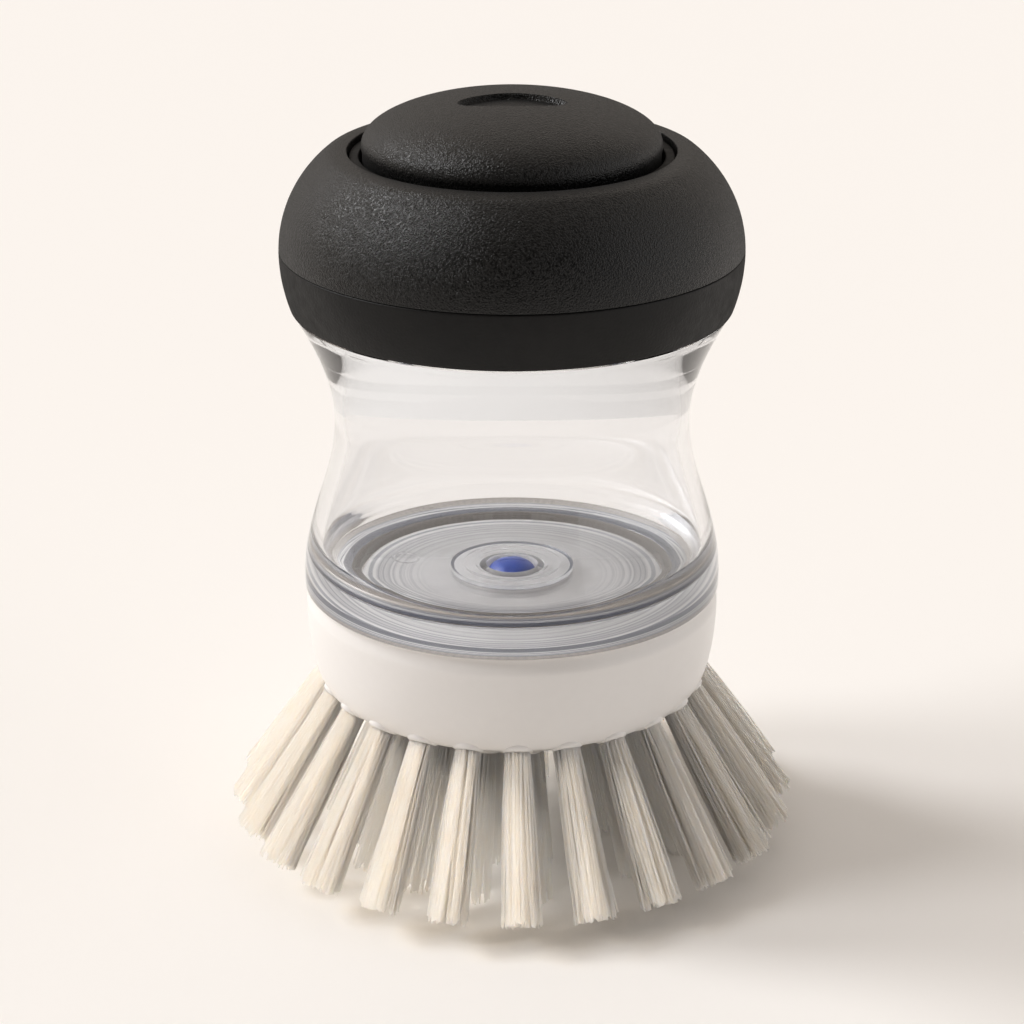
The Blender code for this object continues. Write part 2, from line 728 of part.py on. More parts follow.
def reservoir_outline():
    """Outline of the clear reservoir with its neck, wall, floor and spigot."""
    dish_start = COLLAR_RADIUS + SEAT_GAP
    points = [(NECK_BORE_RADIUS, NECK_Z), (NECK_RADIUS, NECK_Z), (NECK_RADIUS, FLANGE_Z)]
    for i in range(ARC_STEPS):
        share = 1 - i / ARC_STEPS
        points.append((flare_radius(share), WAIST_Z + FLARE_HEIGHT * share))
    points += foot_curve(0, 1, 0)
    points += [(FOOT_RADIUS, FOOT_Z), (SPIGOT_RADIUS, FOOT_Z), (SPIGOT_RADIUS, SPIGOT_Z)]
    points += [(SPIGOT_BORE_RADIUS, SPIGOT_Z), (SPIGOT_BORE_RADIUS, UNDERSIDE_Z)]
    points += [(FLOOR_HOLE_RADIUS, UNDERSIDE_Z), (FLOOR_HOLE_RADIUS, FLOOR_Z)]
    points += floor_points(dish_start, FLOOR_EDGE_RADIUS, FLOOR_Z)
    fillet_share = (WAIST_Z - FILLET_Z) / (WAIST_Z - FOOT_Z - FOOT_HEIGHT)
    wall_radius = foot_radius(fillet_share) - WAIST_WALL
    reach = (wall_radius - FLOOR_EDGE_RADIUS, FLOOR_FILLET)
    points += arc((FLOOR_EDGE_RADIUS, FILLET_Z), reach, -math.pi / 2, 0, DOME_STEPS)[1:-1]
    points += foot_curve(fillet_share, 0, WAIST_WALL)
    points.append((NECK_BORE_RADIUS, WAIST_Z + FLARE_HEIGHT * BORE_TOP_SHARE))
    return points


def make_reservoir(group, cutters, finish):
    """Clear reservoir with the thread on its neck and the lugs on its spigot."""
    tank = turned("reservoir", reservoir_outline(), finish, group)
    rib_path = helix(
        NECK_RADIUS + THREAD_RIB_RISE,
        FLANGE_Z + THREAD_START,
        0,
        THREAD_TURNS,
        THREAD_LEAD,
        THREAD_STEPS,
    )
    rib = add_cutter("neck_rib", wire_mesh("neck_rib", rib_path, THREAD_RIB_RADIUS), cutters)
    boolean(tank, rib, "UNION")
    lug_size = (LUG_REACH + LUG_ROOT, LUG_WIDTH, LUG_HEIGHT)
    lug_place = (SPIGOT_RADIUS + (LUG_REACH - LUG_ROOT) / 2, 0, LUG_TOP_Z - LUG_HEIGHT / 2)
    lugs = add_cutter("spigot_lugs", boxes_mesh("spigot_lugs", lug_size, lug_place, LUG_COUNT), cutters)
    boolean(tank, lugs, "UNION")
    freeze(tank)


def make_valve(group, cutters, collar_finish, valve_finish, clip_finish):
    """The slit valve, the clear collar that seats it in the floor, and its clip below."""
    collar_z = FLOOR_Z + SEAT_GAP
    collar = [
        (VALVE_BORE_RADIUS, collar_z + COLLAR_HEIGHT),
        (COLLAR_RADIUS, collar_z + COLLAR_HEIGHT),
        (COLLAR_RADIUS, collar_z),
        (STEM_RADIUS, collar_z),
        (STEM_RADIUS, STEM_Z),
        (VALVE_BORE_RADIUS, STEM_Z),
    ]
    freeze(turned("valve_collar", collar, collar_finish, group, SMALL_STEPS))

    dome_z = collar_z + COLLAR_HEIGHT + VALVE_DOME_RISE - VALVE_DOME_HEIGHT
    flange_z = STEM_Z - SEAT_GAP
    foot_z = flange_z - VALVE_FLANGE_HEIGHT
    bore = VALVE_RADIUS - VALVE_WALL
    valve = arc((0, dome_z), (VALVE_RADIUS, VALVE_DOME_HEIGHT), math.pi / 2, 0, DOME_STEPS)
    valve += [(VALVE_RADIUS, flange_z), (VALVE_RADIUS + VALVE_FLANGE_REACH, flange_z)]
    valve += [(VALVE_RADIUS + VALVE_FLANGE_REACH, foot_z), (bore, foot_z)]
    valve += arc((0, dome_z), (bore, VALVE_DOME_HEIGHT - VALVE_WALL), 0, math.pi / 2, DOME_STEPS)
    lips = turned("outlet_valve", valve, valve_finish, group, SMALL_STEPS, closed=False)
    slit_size = (VALVE_SLIT_LENGTH, VALVE_SLIT_WIDTH, VALVE_DOME_HEIGHT + CUT_OVERRUN)
    slit_place = (0, 0, dome_z + (VALVE_DOME_HEIGHT + CUT_OVERRUN) / 2)
    slit = add_cutter("valve_slit", boxes_mesh("valve_slit", slit_size, slit_place, 1), cutters)
    boolean(lips, slit, "DIFFERENCE")
    freeze(lips)

    lip_z = foot_z - SEAT_GAP
    clip_bore = STEM_RADIUS + SEAT_GAP
    clip = [
        (clip_bore, UNDERSIDE_Z - SEAT_GAP),
        (clip_bore + CLIP_WALL, UNDERSIDE_Z - SEAT_GAP),
        (clip_bore + CLIP_WALL, lip_z - CLIP_LIP_HEIGHT),
        (clip_bore - CLIP_LIP_REACH, lip_z - CLIP_LIP_HEIGHT),
        (clip_bore - CLIP_LIP_REACH, lip_z),
        (clip_bore, lip_z),
    ]
    freeze(turned("valve_clip", clip, clip_finish, group, SMALL_STEPS))


def make_cap_core(group, cutters, finish):
    """Threaded carrier inside the cap, with the button's guide above its plate."""
    foot_z = FLANGE_Z + CAP_SKIRT_LIFT
    outline = [
        (GUIDE_RADIUS, LEDGE_Z),
        (LIP_RADIUS - SEAT_GAP, LEDGE_Z),
        (LIP_RADIUS - SEAT_GAP, LEDGE_Z - LEDGE_COLLAR_HEIGHT),
        (GUIDE_RADIUS + GUIDE_WALL, LEDGE_Z - LEDGE_COLLAR_HEIGHT),
        (GUIDE_RADIUS + GUIDE_WALL, PLATE_Z),
        (CORE_RADIUS, PLATE_Z),
        (CORE_RADIUS, foot_z),
        (CORE_BORE_RADIUS, foot_z),
        (CORE_BORE_RADIUS, PLATE_UNDER_Z),
        (CORE_PORT_RADIUS, PLATE_UNDER_Z),
        (CORE_PORT_RADIUS, PLATE_Z),
        (GUIDE_RADIUS, PLATE_Z),
    ]
    core = turned("cap_core", outline, finish, group)
    start_turn = 1 / 2 + (CAP_THREAD_START - THREAD_START) / THREAD_LEAD
    rib_path = helix(
        CORE_BORE_RADIUS - THREAD_RIB_RISE,
        FLANGE_Z + CAP_THREAD_START,
        start_turn,
        CAP_THREAD_TURNS,
        THREAD_LEAD,
        THREAD_STEPS,
    )
    rib = add_cutter("core_rib", wire_mesh("core_rib", rib_path, THREAD_RIB_RADIUS), cutters)
    boolean(core, rib, "UNION")
    freeze(core)


def make_cap_band(group, finish):
    """Smooth lower band of the cap, under the seam."""
    top = SEAM_Z - SEAT_GAP / 2
    outline = [(BAND_BORE_RADIUS, top), (CAP_RADIUS, top)]
    for i in range(DOME_STEPS + 1):
        share = i / DOME_STEPS
        outline.append((CAP_RADIUS - BAND_TUCK * share**2, WIDEST_Z - BAND_HEIGHT * share))
    outline.append((BAND_BORE_RADIUS, BAND_FOOT_Z))
    freeze(turned("cap_band", outline, finish, group))


def make_cap_grip(group, finish):
    """Soft upper shell of the cap, from the seam to the rim round the button."""
    foot_z = SEAM_Z + SEAT_GAP / 2
    reach = CAP_RADIUS - GRIP_ARC_CENTRE
    rim_angle = math.acos((RIM_RADIUS + RIM_ROUND - GRIP_ARC_CENTRE) / reach)
    rise = (RIM_Z - WIDEST_Z) / math.sin(rim_angle)
    inner_reach = reach - GRIP_WALL
    inner_rise = rise - GRIP_WALL
    centre = (GRIP_ARC_CENTRE, WIDEST_Z)
    foot_angle = math.asin((foot_z - WIDEST_Z) / rise)
    inner_foot_angle = math.asin((foot_z - WIDEST_Z) / inner_rise)
    lip_angle = math.asin((LIP_Z - WIDEST_Z) / inner_rise)
    outline = [(LIP_RADIUS, LIP_Z), (LIP_RADIUS, RIM_Z - RIM_ROUND / 2)]
    outline.append((LIP_RADIUS + RIM_ROUND / 3, RIM_Z))
    outline += arc(centre, (reach, rise), rim_angle, foot_angle, ARC_STEPS)
    outline += arc(centre, (inner_reach, inner_rise), inner_foot_angle, lip_angle, DOME_STEPS)
    freeze(turned("cap_grip", outline, finish, group))


def button_dome(inset, steps):
    """Outline of the button's dome, from its crown to its edge, or of one inside it."""
    points = []
    for i in range(steps + 1):
        angle = math.pi / 2 * (1 - i / steps)
        across = math.cos(angle) ** DOME_RADIUS_POWER if i else 0
        up = math.sin(angle) ** DOME_HEIGHT_POWER
        radius = (BUTTON_RADIUS - inset) * across
        points.append((radius, BUTTON_EDGE_Z + (BUTTON_DOME_HEIGHT - inset) * up))
    return points


def button_inner_z(radius):
    """Height of the dome's inner side at a radius."""
    across = (radius / (BUTTON_RADIUS - BUTTON_WALL)) ** (1 / DOME_RADIUS_POWER)
    up = math.sqrt(1 - across**2) ** DOME_HEIGHT_POWER
    return BUTTON_EDGE_Z + (BUTTON_DOME_HEIGHT - BUTTON_WALL) * up


def make_button(group, cutters, finish):
    """Domed button with its skirt and the bare oval recess in its crown."""
    skirt = BUTTON_RADIUS - BUTTON_SKIRT_STEP
    outline = button_dome(0, ARC_STEPS)
    outline += [(skirt, BUTTON_EDGE_Z - BUTTON_EDGE_ROUND), (skirt, BUTTON_FOOT_Z)]
    outline.append((BUTTON_RADIUS - BUTTON_WALL, BUTTON_FOOT_Z))
    outline += reversed(button_dome(BUTTON_WALL, DOME_STEPS))
    button = turned("button", outline, finish, group, closed=False)
    shape = bmesh.new()
    crown_z = BUTTON_EDGE_Z + BUTTON_DOME_HEIGHT
    place = Matrix.Translation((0, -RECESS_SHIFT, crown_z - RECESS_DEPTH + CUT_OVERRUN / 2))
    bmesh.ops.create_cone(
        shape,
        cap_ends=True,
        segments=SMALL_STEPS,
        radius1=1 / 2,
        radius2=1 / 2,
        depth=1,
        matrix=place @ Matrix.Diagonal((RECESS_LENGTH, RECESS_WIDTH, CUT_OVERRUN, 1)),
    )
    boolean(button, strands_cutter("button_recess", shape, cutters), "DIFFERENCE")
    freeze(button)


def make_button_insert(group, finish):
    """Plunger inside the button: a spring plate, a hub under the crown and a post."""
    plate_top = INSERT_Z + INSERT_PLATE
    hub_top = button_inner_z(INSERT_HUB_RADIUS) - SEAT_GAP
    post_z = BELLOWS_TOP_Z + SEAT_GAP
    outline = [
        (0, hub_top),
        (INSERT_HUB_RADIUS, hub_top),
        (INSERT_HUB_RADIUS, plate_top),
        (INSERT_RADIUS, plate_top),
        (INSERT_RADIUS, INSERT_Z),
        (INSERT_POST_RADIUS, INSERT_Z),
        (INSERT_POST_RADIUS, post_z),
        (0, post_z),
    ]
    freeze(turned("button_insert", outline, finish, group, SMALL_STEPS, closed=False))


def make_bellows(group, finish, clamp_finish):
    """Pump bellows on the plate's port, and the ring that clamps its flange."""
    flange_z = PUMP_Z + BELLOWS_FLANGE_HEIGHT
    fold_top, fold_bottom = (PUMP_Z + BELLOWS_HEIGHT * share for share in BELLOWS_FOLD_SHARES)
    waist_z = PUMP_Z + BELLOWS_HEIGHT * BELLOWS_WAIST_SHARE
    foot_z = PUMP_Z + BELLOWS_HEIGHT * BELLOWS_FOOT_SHARE
    crown_z = BELLOWS_TOP_Z - BELLOWS_WALL
    outline = [
        (0, BELLOWS_TOP_Z),
        (BELLOWS_CROWN_RADIUS, BELLOWS_TOP_Z),
        (BELLOWS_FOLD_RADIUS, fold_top),
        (BELLOWS_FOLD_RADIUS, fold_bottom),
        (BELLOWS_WAIST_RADIUS, waist_z),
        (BELLOWS_FOOT_RADIUS, foot_z),
        (BELLOWS_FOOT_RADIUS, flange_z),
        (BELLOWS_FLANGE_RADIUS, flange_z),
        (BELLOWS_FLANGE_RADIUS, PUMP_Z),
        (BELLOWS_FOOT_RADIUS - BELLOWS_WALL, PUMP_Z),
        (BELLOWS_FOOT_RADIUS - BELLOWS_WALL, foot_z),
        (BELLOWS_WAIST_RADIUS - BELLOWS_WALL, waist_z),
        (BELLOWS_FOLD_RADIUS - BELLOWS_WALL, (fold_top + fold_bottom) / 2),
        (BELLOWS_CROWN_RADIUS - BELLOWS_WALL, crown_z),
        (0, crown_z),
    ]
    freeze(turned("pump_bellows", outline, finish, group, SMALL_STEPS, closed=False))

    bore = BELLOWS_FLANGE_RADIUS + SEAT_GAP
    lip_z = flange_z + SEAT_GAP
    clamp = [
        (BELLOWS_FOOT_RADIUS + SEAT_GAP, lip_z + CLAMP_LIP),
        (bore + CLAMP_WALL, lip_z + CLAMP_LIP),
        (bore + CLAMP_WALL, PUMP_Z),
        (bore, PUMP_Z),
        (bore, lip_z),
        (BELLOWS_FOOT_RADIUS + SEAT_GAP, lip_z),
    ]
    freeze(turned("bellows_ring", clamp, clamp_finish, group, SMALL_STEPS))


def make_spring(group, finish):
    """Return spring between the cap's plate and the button's plunger."""
    low = PUMP_Z + SPRING_WIRE_RADIUS
    high = INSERT_Z - SEAT_GAP - SPRING_WIRE_RADIUS
    points = helix(SPRING_RADIUS, low, 0, SPRING_TURNS, (high - low) / SPRING_TURNS, SPRING_STEPS)
    add_piece("return_spring", wire_mesh("return_spring", points, SPRING_WIRE_RADIUS), finish, group)
    print(f"return_spring: least gap between turns {least_gap(points, SPRING_WIRE_RADIUS) * 1000:.2f} mm")


def main():
    """Model the brush."""
    clear_scene()
    pieces = new_collection("palm_brush")
    cutters = new_collection("cutters")
    grip_black = soft_grip_material()
    cap_black = cap_plastic_material()
    clear_plastic = clear_plastic_material()
    white_plastic = white_plastic_material()
    blue_silicone = blue_silicone_material()
    seal_silicone = seal_material()
    spring_steel = spring_steel_material()
    nylon = bristle_material()

    make_brush_block(pieces, cutters, white_plastic)
    make_tufts(pieces, cutters, nylon)
    make_seals(pieces, seal_silicone)
    make_reservoir(pieces, cutters, clear_plastic)
    make_valve(pieces, cutters, clear_plastic, blue_silicone, white_plastic)
    make_cap_core(pieces, cutters, cap_black)
    make_cap_band(pieces, cap_black)
    make_cap_grip(pieces, grip_black)
    make_button(pieces, cutters, cap_black)
    make_button_insert(pieces, white_plastic)
    make_bellows(pieces, seal_silicone, white_plastic)
    make_spring(pieces, spring_steel)


main()
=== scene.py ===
"""Looks of the soap-dispensing palm brush: its fine surfaces and materials, with the floor, light and camera.

Metres, +Z up.  The brush stands on its bristle tips, and its photographed front faces -Y.
"""
import math
import random

import bpy
import bmesh
from mathutils import Matrix, Vector


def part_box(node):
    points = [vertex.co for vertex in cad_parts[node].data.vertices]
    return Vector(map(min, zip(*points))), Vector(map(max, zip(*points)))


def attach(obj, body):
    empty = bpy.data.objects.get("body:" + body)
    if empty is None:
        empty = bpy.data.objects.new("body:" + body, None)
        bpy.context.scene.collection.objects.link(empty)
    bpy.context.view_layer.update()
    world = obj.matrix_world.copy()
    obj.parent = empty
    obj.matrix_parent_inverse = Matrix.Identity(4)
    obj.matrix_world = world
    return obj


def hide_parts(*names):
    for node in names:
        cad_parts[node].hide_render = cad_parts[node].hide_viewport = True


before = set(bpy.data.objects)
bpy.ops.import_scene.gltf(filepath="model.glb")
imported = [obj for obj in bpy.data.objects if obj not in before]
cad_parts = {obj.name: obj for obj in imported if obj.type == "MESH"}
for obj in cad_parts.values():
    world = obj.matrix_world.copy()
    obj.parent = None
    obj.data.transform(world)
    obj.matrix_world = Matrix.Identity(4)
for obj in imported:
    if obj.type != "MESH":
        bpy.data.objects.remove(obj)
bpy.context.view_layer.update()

# Facets
FINE_STEPS = 144
SMALL_STEPS = 72
ARC_STEPS = 20
CORNER_STEPS = 3
BEVEL_STEPS = 2
CORNER_ANGLE = math.radians(25)
CORNER_REACH_SHARE = 0.45
SMOOTH_ANGLE = math.radians(40)
BOSS_STEPS = 24
RIB_SIDES = 8
AXIS_TOLERANCE = 0.000001
DOWNWARD = -0.5

# Edge rounding
FINE_EDGE = 0.0002
SOFT_EDGE = 0.0005

# Bristle head
DOME_CENTRE_Z = 0.0668
DOME_RADIUS = 0.0500
DOME_FLOOR_RADIUS = 0.0435
DOME_EDGE_RADIUS = 0.02705
DOME_EDGE_Z = 0.02475
HEAD_RADIUS = 0.0303
HEAD_BAND_Z = 0.03745
HEAD_BAND_DEPTH = 0.0007
HEAD_TOP_Z = 0.03995
MOUTH_RADIUS = 0.02617
SEAL_SEAT_RADIUS = 0.02827
SEAL_SEAT_Z = 0.03845
SOAP_CHANNEL_RADIUS = 0.0040
LUG_COUNT = 4
CATCH_SIZE = (0.00257, 0.0060, 0.0011)
CATCH_PLACE = (0.02589, 0, 0.03705)
BOSS_RADIUS = 0.0023
BOSS_HEIGHT = 0.00035

# Tufts
OUTER_TUFTS = 24
OUTER_RING_RADIUS = 0.0269
OUTER_RING_TURN = math.radians(1.7)
OUTER_LENGTH = 0.0246
OUTER_STRANDS = 140
OUTER_SPREAD = 0.0031
MIDDLE_TUFTS = 18
MIDDLE_RING_RADIUS = 0.0180
MIDDLE_RING_TURN = math.radians(-3.5)
MIDDLE_STRANDS = 112
MIDDLE_SPREAD = 0.0029
INNER_ARCS = 3
ARC_TUFTS = 4
INNER_RING_RADIUS = 0.0105
INNER_STRANDS = 64
INNER_SPREAD = 0.0023
TUFT_ROOT_SPREAD = 0.00175
STRAND_RADIUS = 0.00015
STRAND_SIDES = 4
STRAND_RINGS = 4
ROOT_DEPTH = 0.0010
TIP_RAGGEDNESS = 0.00035
TIP_RAGGED_SHARES = (-2, 1)
TIP_CLEARANCE = 0.0001
GOLDEN_ANGLE = math.pi * (3 - math.sqrt(5))
SPOT_TURN = 0.25
STRETCH_SHARES = (0.93, 1.05)
CLUMPS = 9
CLUMP_SHARE = 0.30
STRAY_SHARE = 0.04
STRAY_REACH_SHARE = 1.22
BEND = 0.00035
OUTER_SEED = 0
MIDDLE_SEED = 100
INNER_SEED = 200
INNER_SEED_STEP = 10

# Camera and light
CAMERA_PLACE = (0, -0.3966, 0.2073)
CAMERA_TILT = math.radians(68.4)
CAMERA_LENS = 102.2
CAMERA_SENSOR = 36
CAMERA_NEAR = 0.01
KEY = (160, 41, 1.5, 16)
LEFT_FILL = (189, 38, 0.95, 17)
RIGHT_FILL = (-10, 7, 1.1, 80)
LAMP_COLOUR = (0.965, 0.965, 0.975)
WORLD_TOWARDS = (-0.40, 0.79, 0.46)
WORLD_FADE = (-0.5, 0.7)
WORLD_DARK = (0.035, 0.032, 0.03)
WORLD_BRIGHT = (0.74, 0.67, 0.605)
WORLD_SEEN = (0.935, 0.895, 0.855)
WORLD_SEEN_RIGHT = (0.74, 0.70, 0.665)
WORLD_SEEN_FADE = (-0.1, 0.3)
FLOOR_COLOUR = (0.93, 0.91, 0.885)
FLOOR_SIZE = 4.0


def new_object(name, mesh):
    """An object of a mesh in the scene."""
    piece = bpy.data.objects.new(name, mesh)
    bpy.context.scene.collection.objects.link(piece)
    return piece


def smooth(mesh):
    """Smooth shading but for sharp edges."""
    mesh.shade_smooth()
    mesh.set_sharp_from_angle(angle=SMOOTH_ANGLE)


def arc(centre, reach, start, end, steps=ARC_STEPS):
    """Points of an elliptical arc in an outline's plane."""
    points = []
    for i in range(steps + 1):
        angle = start + (end - start) * i / steps
        points.append((centre[0] + reach[0] * math.cos(angle), centre[1] + reach[1] * math.sin(angle)))
    return points


def softened(outline, size, closed=True):
    """The outline with its sharp corners rounded off."""
    count = len(outline)
    points = []
    for i, spot in enumerate(outline):
        corner = Vector(spot)
        before = Vector(outline[i - 1]) - corner
        after = Vector(outline[(i + 1) % count]) - corner
        at_end = not closed and i in (0, count - 1)
        if at_end or math.pi - before.angle(after) < CORNER_ANGLE:
            points.append(tuple(corner))
            continue
        start = corner + before.normalized() * min(size, before.length * CORNER_REACH_SHARE)
        end = corner + after.normalized() * min(size, after.length * CORNER_REACH_SHARE)
        for j in range(CORNER_STEPS + 1):
            share = j / CORNER_STEPS
            points.append(tuple(start * (1 - share) ** 2 + corner * 2 * share * (1 - share) + end * share**2))
    return points


def turned_mesh(name, outline, steps=FINE_STEPS, closed=True):
    """The mesh of an outline of (radius, height) points turned round the Z axis.

    The points run down the outer side and back up the inner side.
    """
    points = []
    rings = []
    for radius, height in outline:
        if radius < AXIS_TOLERANCE:
            rings.append([len(points)] * steps)
            points.append((0, 0, height))
            continue
        rings.append(list(range(len(points), len(points) + steps)))
        for i in range(steps):
            angle = math.tau * i / steps
            points.append((radius * math.cos(angle), radius * math.sin(angle), height))
    following = rings[1:] + rings[:1] if closed else rings[1:]
    faces = []
    for upper, lower in zip(rings, following):
        for i in range(steps):
            j = (i + 1) % steps
            face = list(dict.fromkeys((upper[i], lower[i], lower[j], upper[j])))
            if len(face) > 2:
                faces.append(face)
    mesh = bpy.data.meshes.new(name)
    mesh.from_pydata(points, [], faces)
    smooth(mesh)
    return mesh


def turned(name, outline, steps=FINE_STEPS, closed=True):
    """An object turned from an outline."""
    return new_object(name, turned_mesh(name, outline, steps, closed))


def ring(name, inner, outer, bottom, top):
    """A turned ring of rectangular section with fine rounded edges."""
    return turned(name, softened([(inner, top), (outer, top), (outer, bottom), (inner, bottom)], FINE_EDGE))


def boxes_mesh(name, size, place, count, bevel):
    """A ring of equal bevelled boxes round the Z axis; size and place are of the one on +X."""
    shape = bmesh.new()
    for i in range(count):
        matrix = Matrix.Rotation(math.tau * i / count, 4, "Z") @ Matrix.Translation(place)
        bmesh.ops.create_cube(shape, size=1, matrix=matrix @ Matrix.Diagonal((*size, 1)))
    bmesh.ops.bevel(shape, geom=shape.edges, offset=bevel, segments=BEVEL_STEPS, affect="EDGES", profile=0.5)
    mesh = bpy.data.meshes.new(name)
    shape.to_mesh(mesh)
    shape.free()
    return mesh


def joined_mesh(name, meshes):
    """One mesh of several."""
    shape = bmesh.new()
    for mesh in meshes:
        shape.from_mesh(mesh)
    whole = bpy.data.meshes.new(name)
    shape.to_mesh(whole)
    shape.free()
    smooth(whole)
    return whole


def helix(radius, start_z, start_turn, turns, lead, steps):
    """Points of a right-hand helix round the Z axis."""
    count = round(turns * steps)
    points = []
    for i in range(count + 1):
        turn = turns * i / count
        angle = math.tau * (start_turn + turn)
        points.append(Vector((radius * math.cos(angle), radius * math.sin(angle), start_z + lead * turn)))
    return points


def add_tube(points, faces, path, radius, sides, flat_z=None):
    """Add a tube along a path to lists of points and faces; with flat_z its last end is cut level there."""
    along = (path[-1] - path[0]).normalized()
    side = along.orthogonal().normalized()
    first = len(points)
    for i, spot in enumerate(path):
        ahead = path[min(i + 1, len(path) - 1)]
        behind = path[max(i - 1, 0)]
        along = (ahead - behind).normalized()
        side = (side - along * side.dot(along)).normalized()
        up = along.cross(side)
        for j in range(sides):
            angle = math.tau * j / sides
            point = spot + (side * math.cos(angle) + up * math.sin(angle)) * radius
            if flat_z is not None and i == len(path) - 1:
                point += along * (flat_z - point.z) / along.z
            points.append(point)
    for i in range(len(path) - 1):
        for j in range(sides):
            k = (j + 1) % sides
            low = first + i * sides
            high = low + sides
            faces.append((low + j, low + k, high + k, high + j))
    faces.append(tuple(first + j for j in reversed(range(sides))))
    last = first + (len(path) - 1) * sides
    faces.append(tuple(last + j for j in range(sides)))


def tube_mesh(name, path, radius, sides):
    """The mesh of one tube."""
    points = []
    faces = []
    add_tube(points, faces, path, radius, sides)
    mesh = bpy.data.meshes.new(name)
    mesh.from_pydata(points, [], faces)
    return mesh


def combine(piece, mesh, operation):
    """Join a mesh onto a piece, or cut it out."""
    tool = new_object(piece.name + "_tool", mesh)
    step = piece.modifiers.new("combine", "BOOLEAN")
    step.operation = operation
    step.solver = "EXACT"
    step.object = tool
    bpy.context.view_layer.update()
    result = bpy.data.meshes.new_from_object(piece.evaluated_get(bpy.context.evaluated_depsgraph_get()))
    piece.modifiers.clear()
    piece.data = result
    smooth(result)
    bpy.data.objects.remove(tool)


def sphere_z(radius, sphere_radius):
    """Height of the bristle face's sphere, or of one inside it, at a radius."""
    return DOME_CENTRE_Z - math.sqrt(sphere_radius**2 - radius**2)


def sphere_arc(sphere_radius, start, end):
    """Outline points on such a sphere, from one radius to another."""
    radii = [start + (end - start) * i / ARC_STEPS for i in range(ARC_STEPS + 1)]
    return [(radius, sphere_z(radius, sphere_radius)) for radius in radii]


def tuft_axis(ring_radius):
    """Direction of a tuft of a ring, at azimuth 0: square to the bristle face."""
    tilt = math.asin(ring_radius / DOME_RADIUS)
    return Vector((math.sin(tilt), 0, -math.cos(tilt)))


def boss_mesh(ring_radius, azimuth):
    """The low collar round a tuft's root."""
    outline = [(0, BOSS_HEIGHT), (BOSS_RADIUS - BOSS_HEIGHT, BOSS_HEIGHT)]
    outline += [(BOSS_RADIUS, 0), (BOSS_RADIUS, -SOFT_EDGE)]
    mesh = turned_mesh("boss", softened(outline, FINE_EDGE, closed=False), BOSS_STEPS, closed=False)
    axis = tuft_axis(ring_radius)
    turn = axis.to_track_quat("Z", "Y").to_matrix().to_4x4()
    place = Matrix.Translation(Vector((0, 0, DOME_CENTRE_Z)) + axis * DOME_RADIUS)
    mesh.transform(Matrix.Rotation(azimuth, 4, "Z") @ place @ turn)
    return mesh


def head_outline():
    """Outline of the bristle block."""
    band_radius = HEAD_RADIUS - HEAD_BAND_DEPTH
    points = [(MOUTH_RADIUS, SEAL_SEAT_Z), (SEAL_SEAT_RADIUS, SEAL_SEAT_Z), (SEAL_SEAT_RADIUS, HEAD_TOP_Z)]
    for i in range(ARC_STEPS):
        share = i / ARC_STEPS
        swell = HEAD_BAND_DEPTH * share * share * (3 - 2 * share)
        points.append((band_radius + swell, HEAD_TOP_Z - (HEAD_TOP_Z - HEAD_BAND_Z) * share))
    reach = (HEAD_RADIUS - DOME_EDGE_RADIUS, HEAD_BAND_Z - DOME_EDGE_Z)
    points += arc((DOME_EDGE_RADIUS, HEAD_BAND_Z), reach, 0, -math.pi / 2)
    points += sphere_arc(DOME_RADIUS, DOME_EDGE_RADIUS, SOAP_CHANNEL_RADIUS)[1:]
    points += sphere_arc(DOME_FLOOR_RADIUS, SOAP_CHANNEL_RADIUS, MOUTH_RADIUS)
    return points


def make_block():
    """The white block with the catches in its mouth and its root collars."""
    parts = [turned_mesh("block", softened(head_outline(), FINE_EDGE))]
    parts.append(boxes_mesh("catches", CATCH_SIZE, CATCH_PLACE, LUG_COUNT, FINE_EDGE))
    for i in range(OUTER_TUFTS):
        parts.append(boss_mesh(OUTER_RING_RADIUS, OUTER_RING_TURN + math.tau * i / OUTER_TUFTS))
    for i in range(MIDDLE_TUFTS):
        parts.append(boss_mesh(MIDDLE_RING_RADIUS, MIDDLE_RING_TURN + math.tau * i / MIDDLE_TUFTS))
    return new_object("bristle_block", joined_mesh("bristle_block", parts))


def disc_points(count, rng):
    """Points spread evenly over a unit disc, each a little out of place."""
    points = []
    for i in range(count):
        radius = math.sqrt((i + 0.5) / count)
        angle = i * GOLDEN_ANGLE + rng.uniform(-SPOT_TURN, SPOT_TURN)
        points.append((radius * math.cos(angle), radius * math.sin(angle)))
    return points


def clumped(spot, clumps):
    """A point of the disc drawn towards its nearest clump."""
    near = min(clumps, key=lambda clump: (clump[0] - spot[0]) ** 2 + (clump[1] - spot[1]) ** 2)
    return (spot[0] + (near[0] - spot[0]) * CLUMP_SHARE, spot[1] + (near[1] - spot[1]) * CLUMP_SHARE)


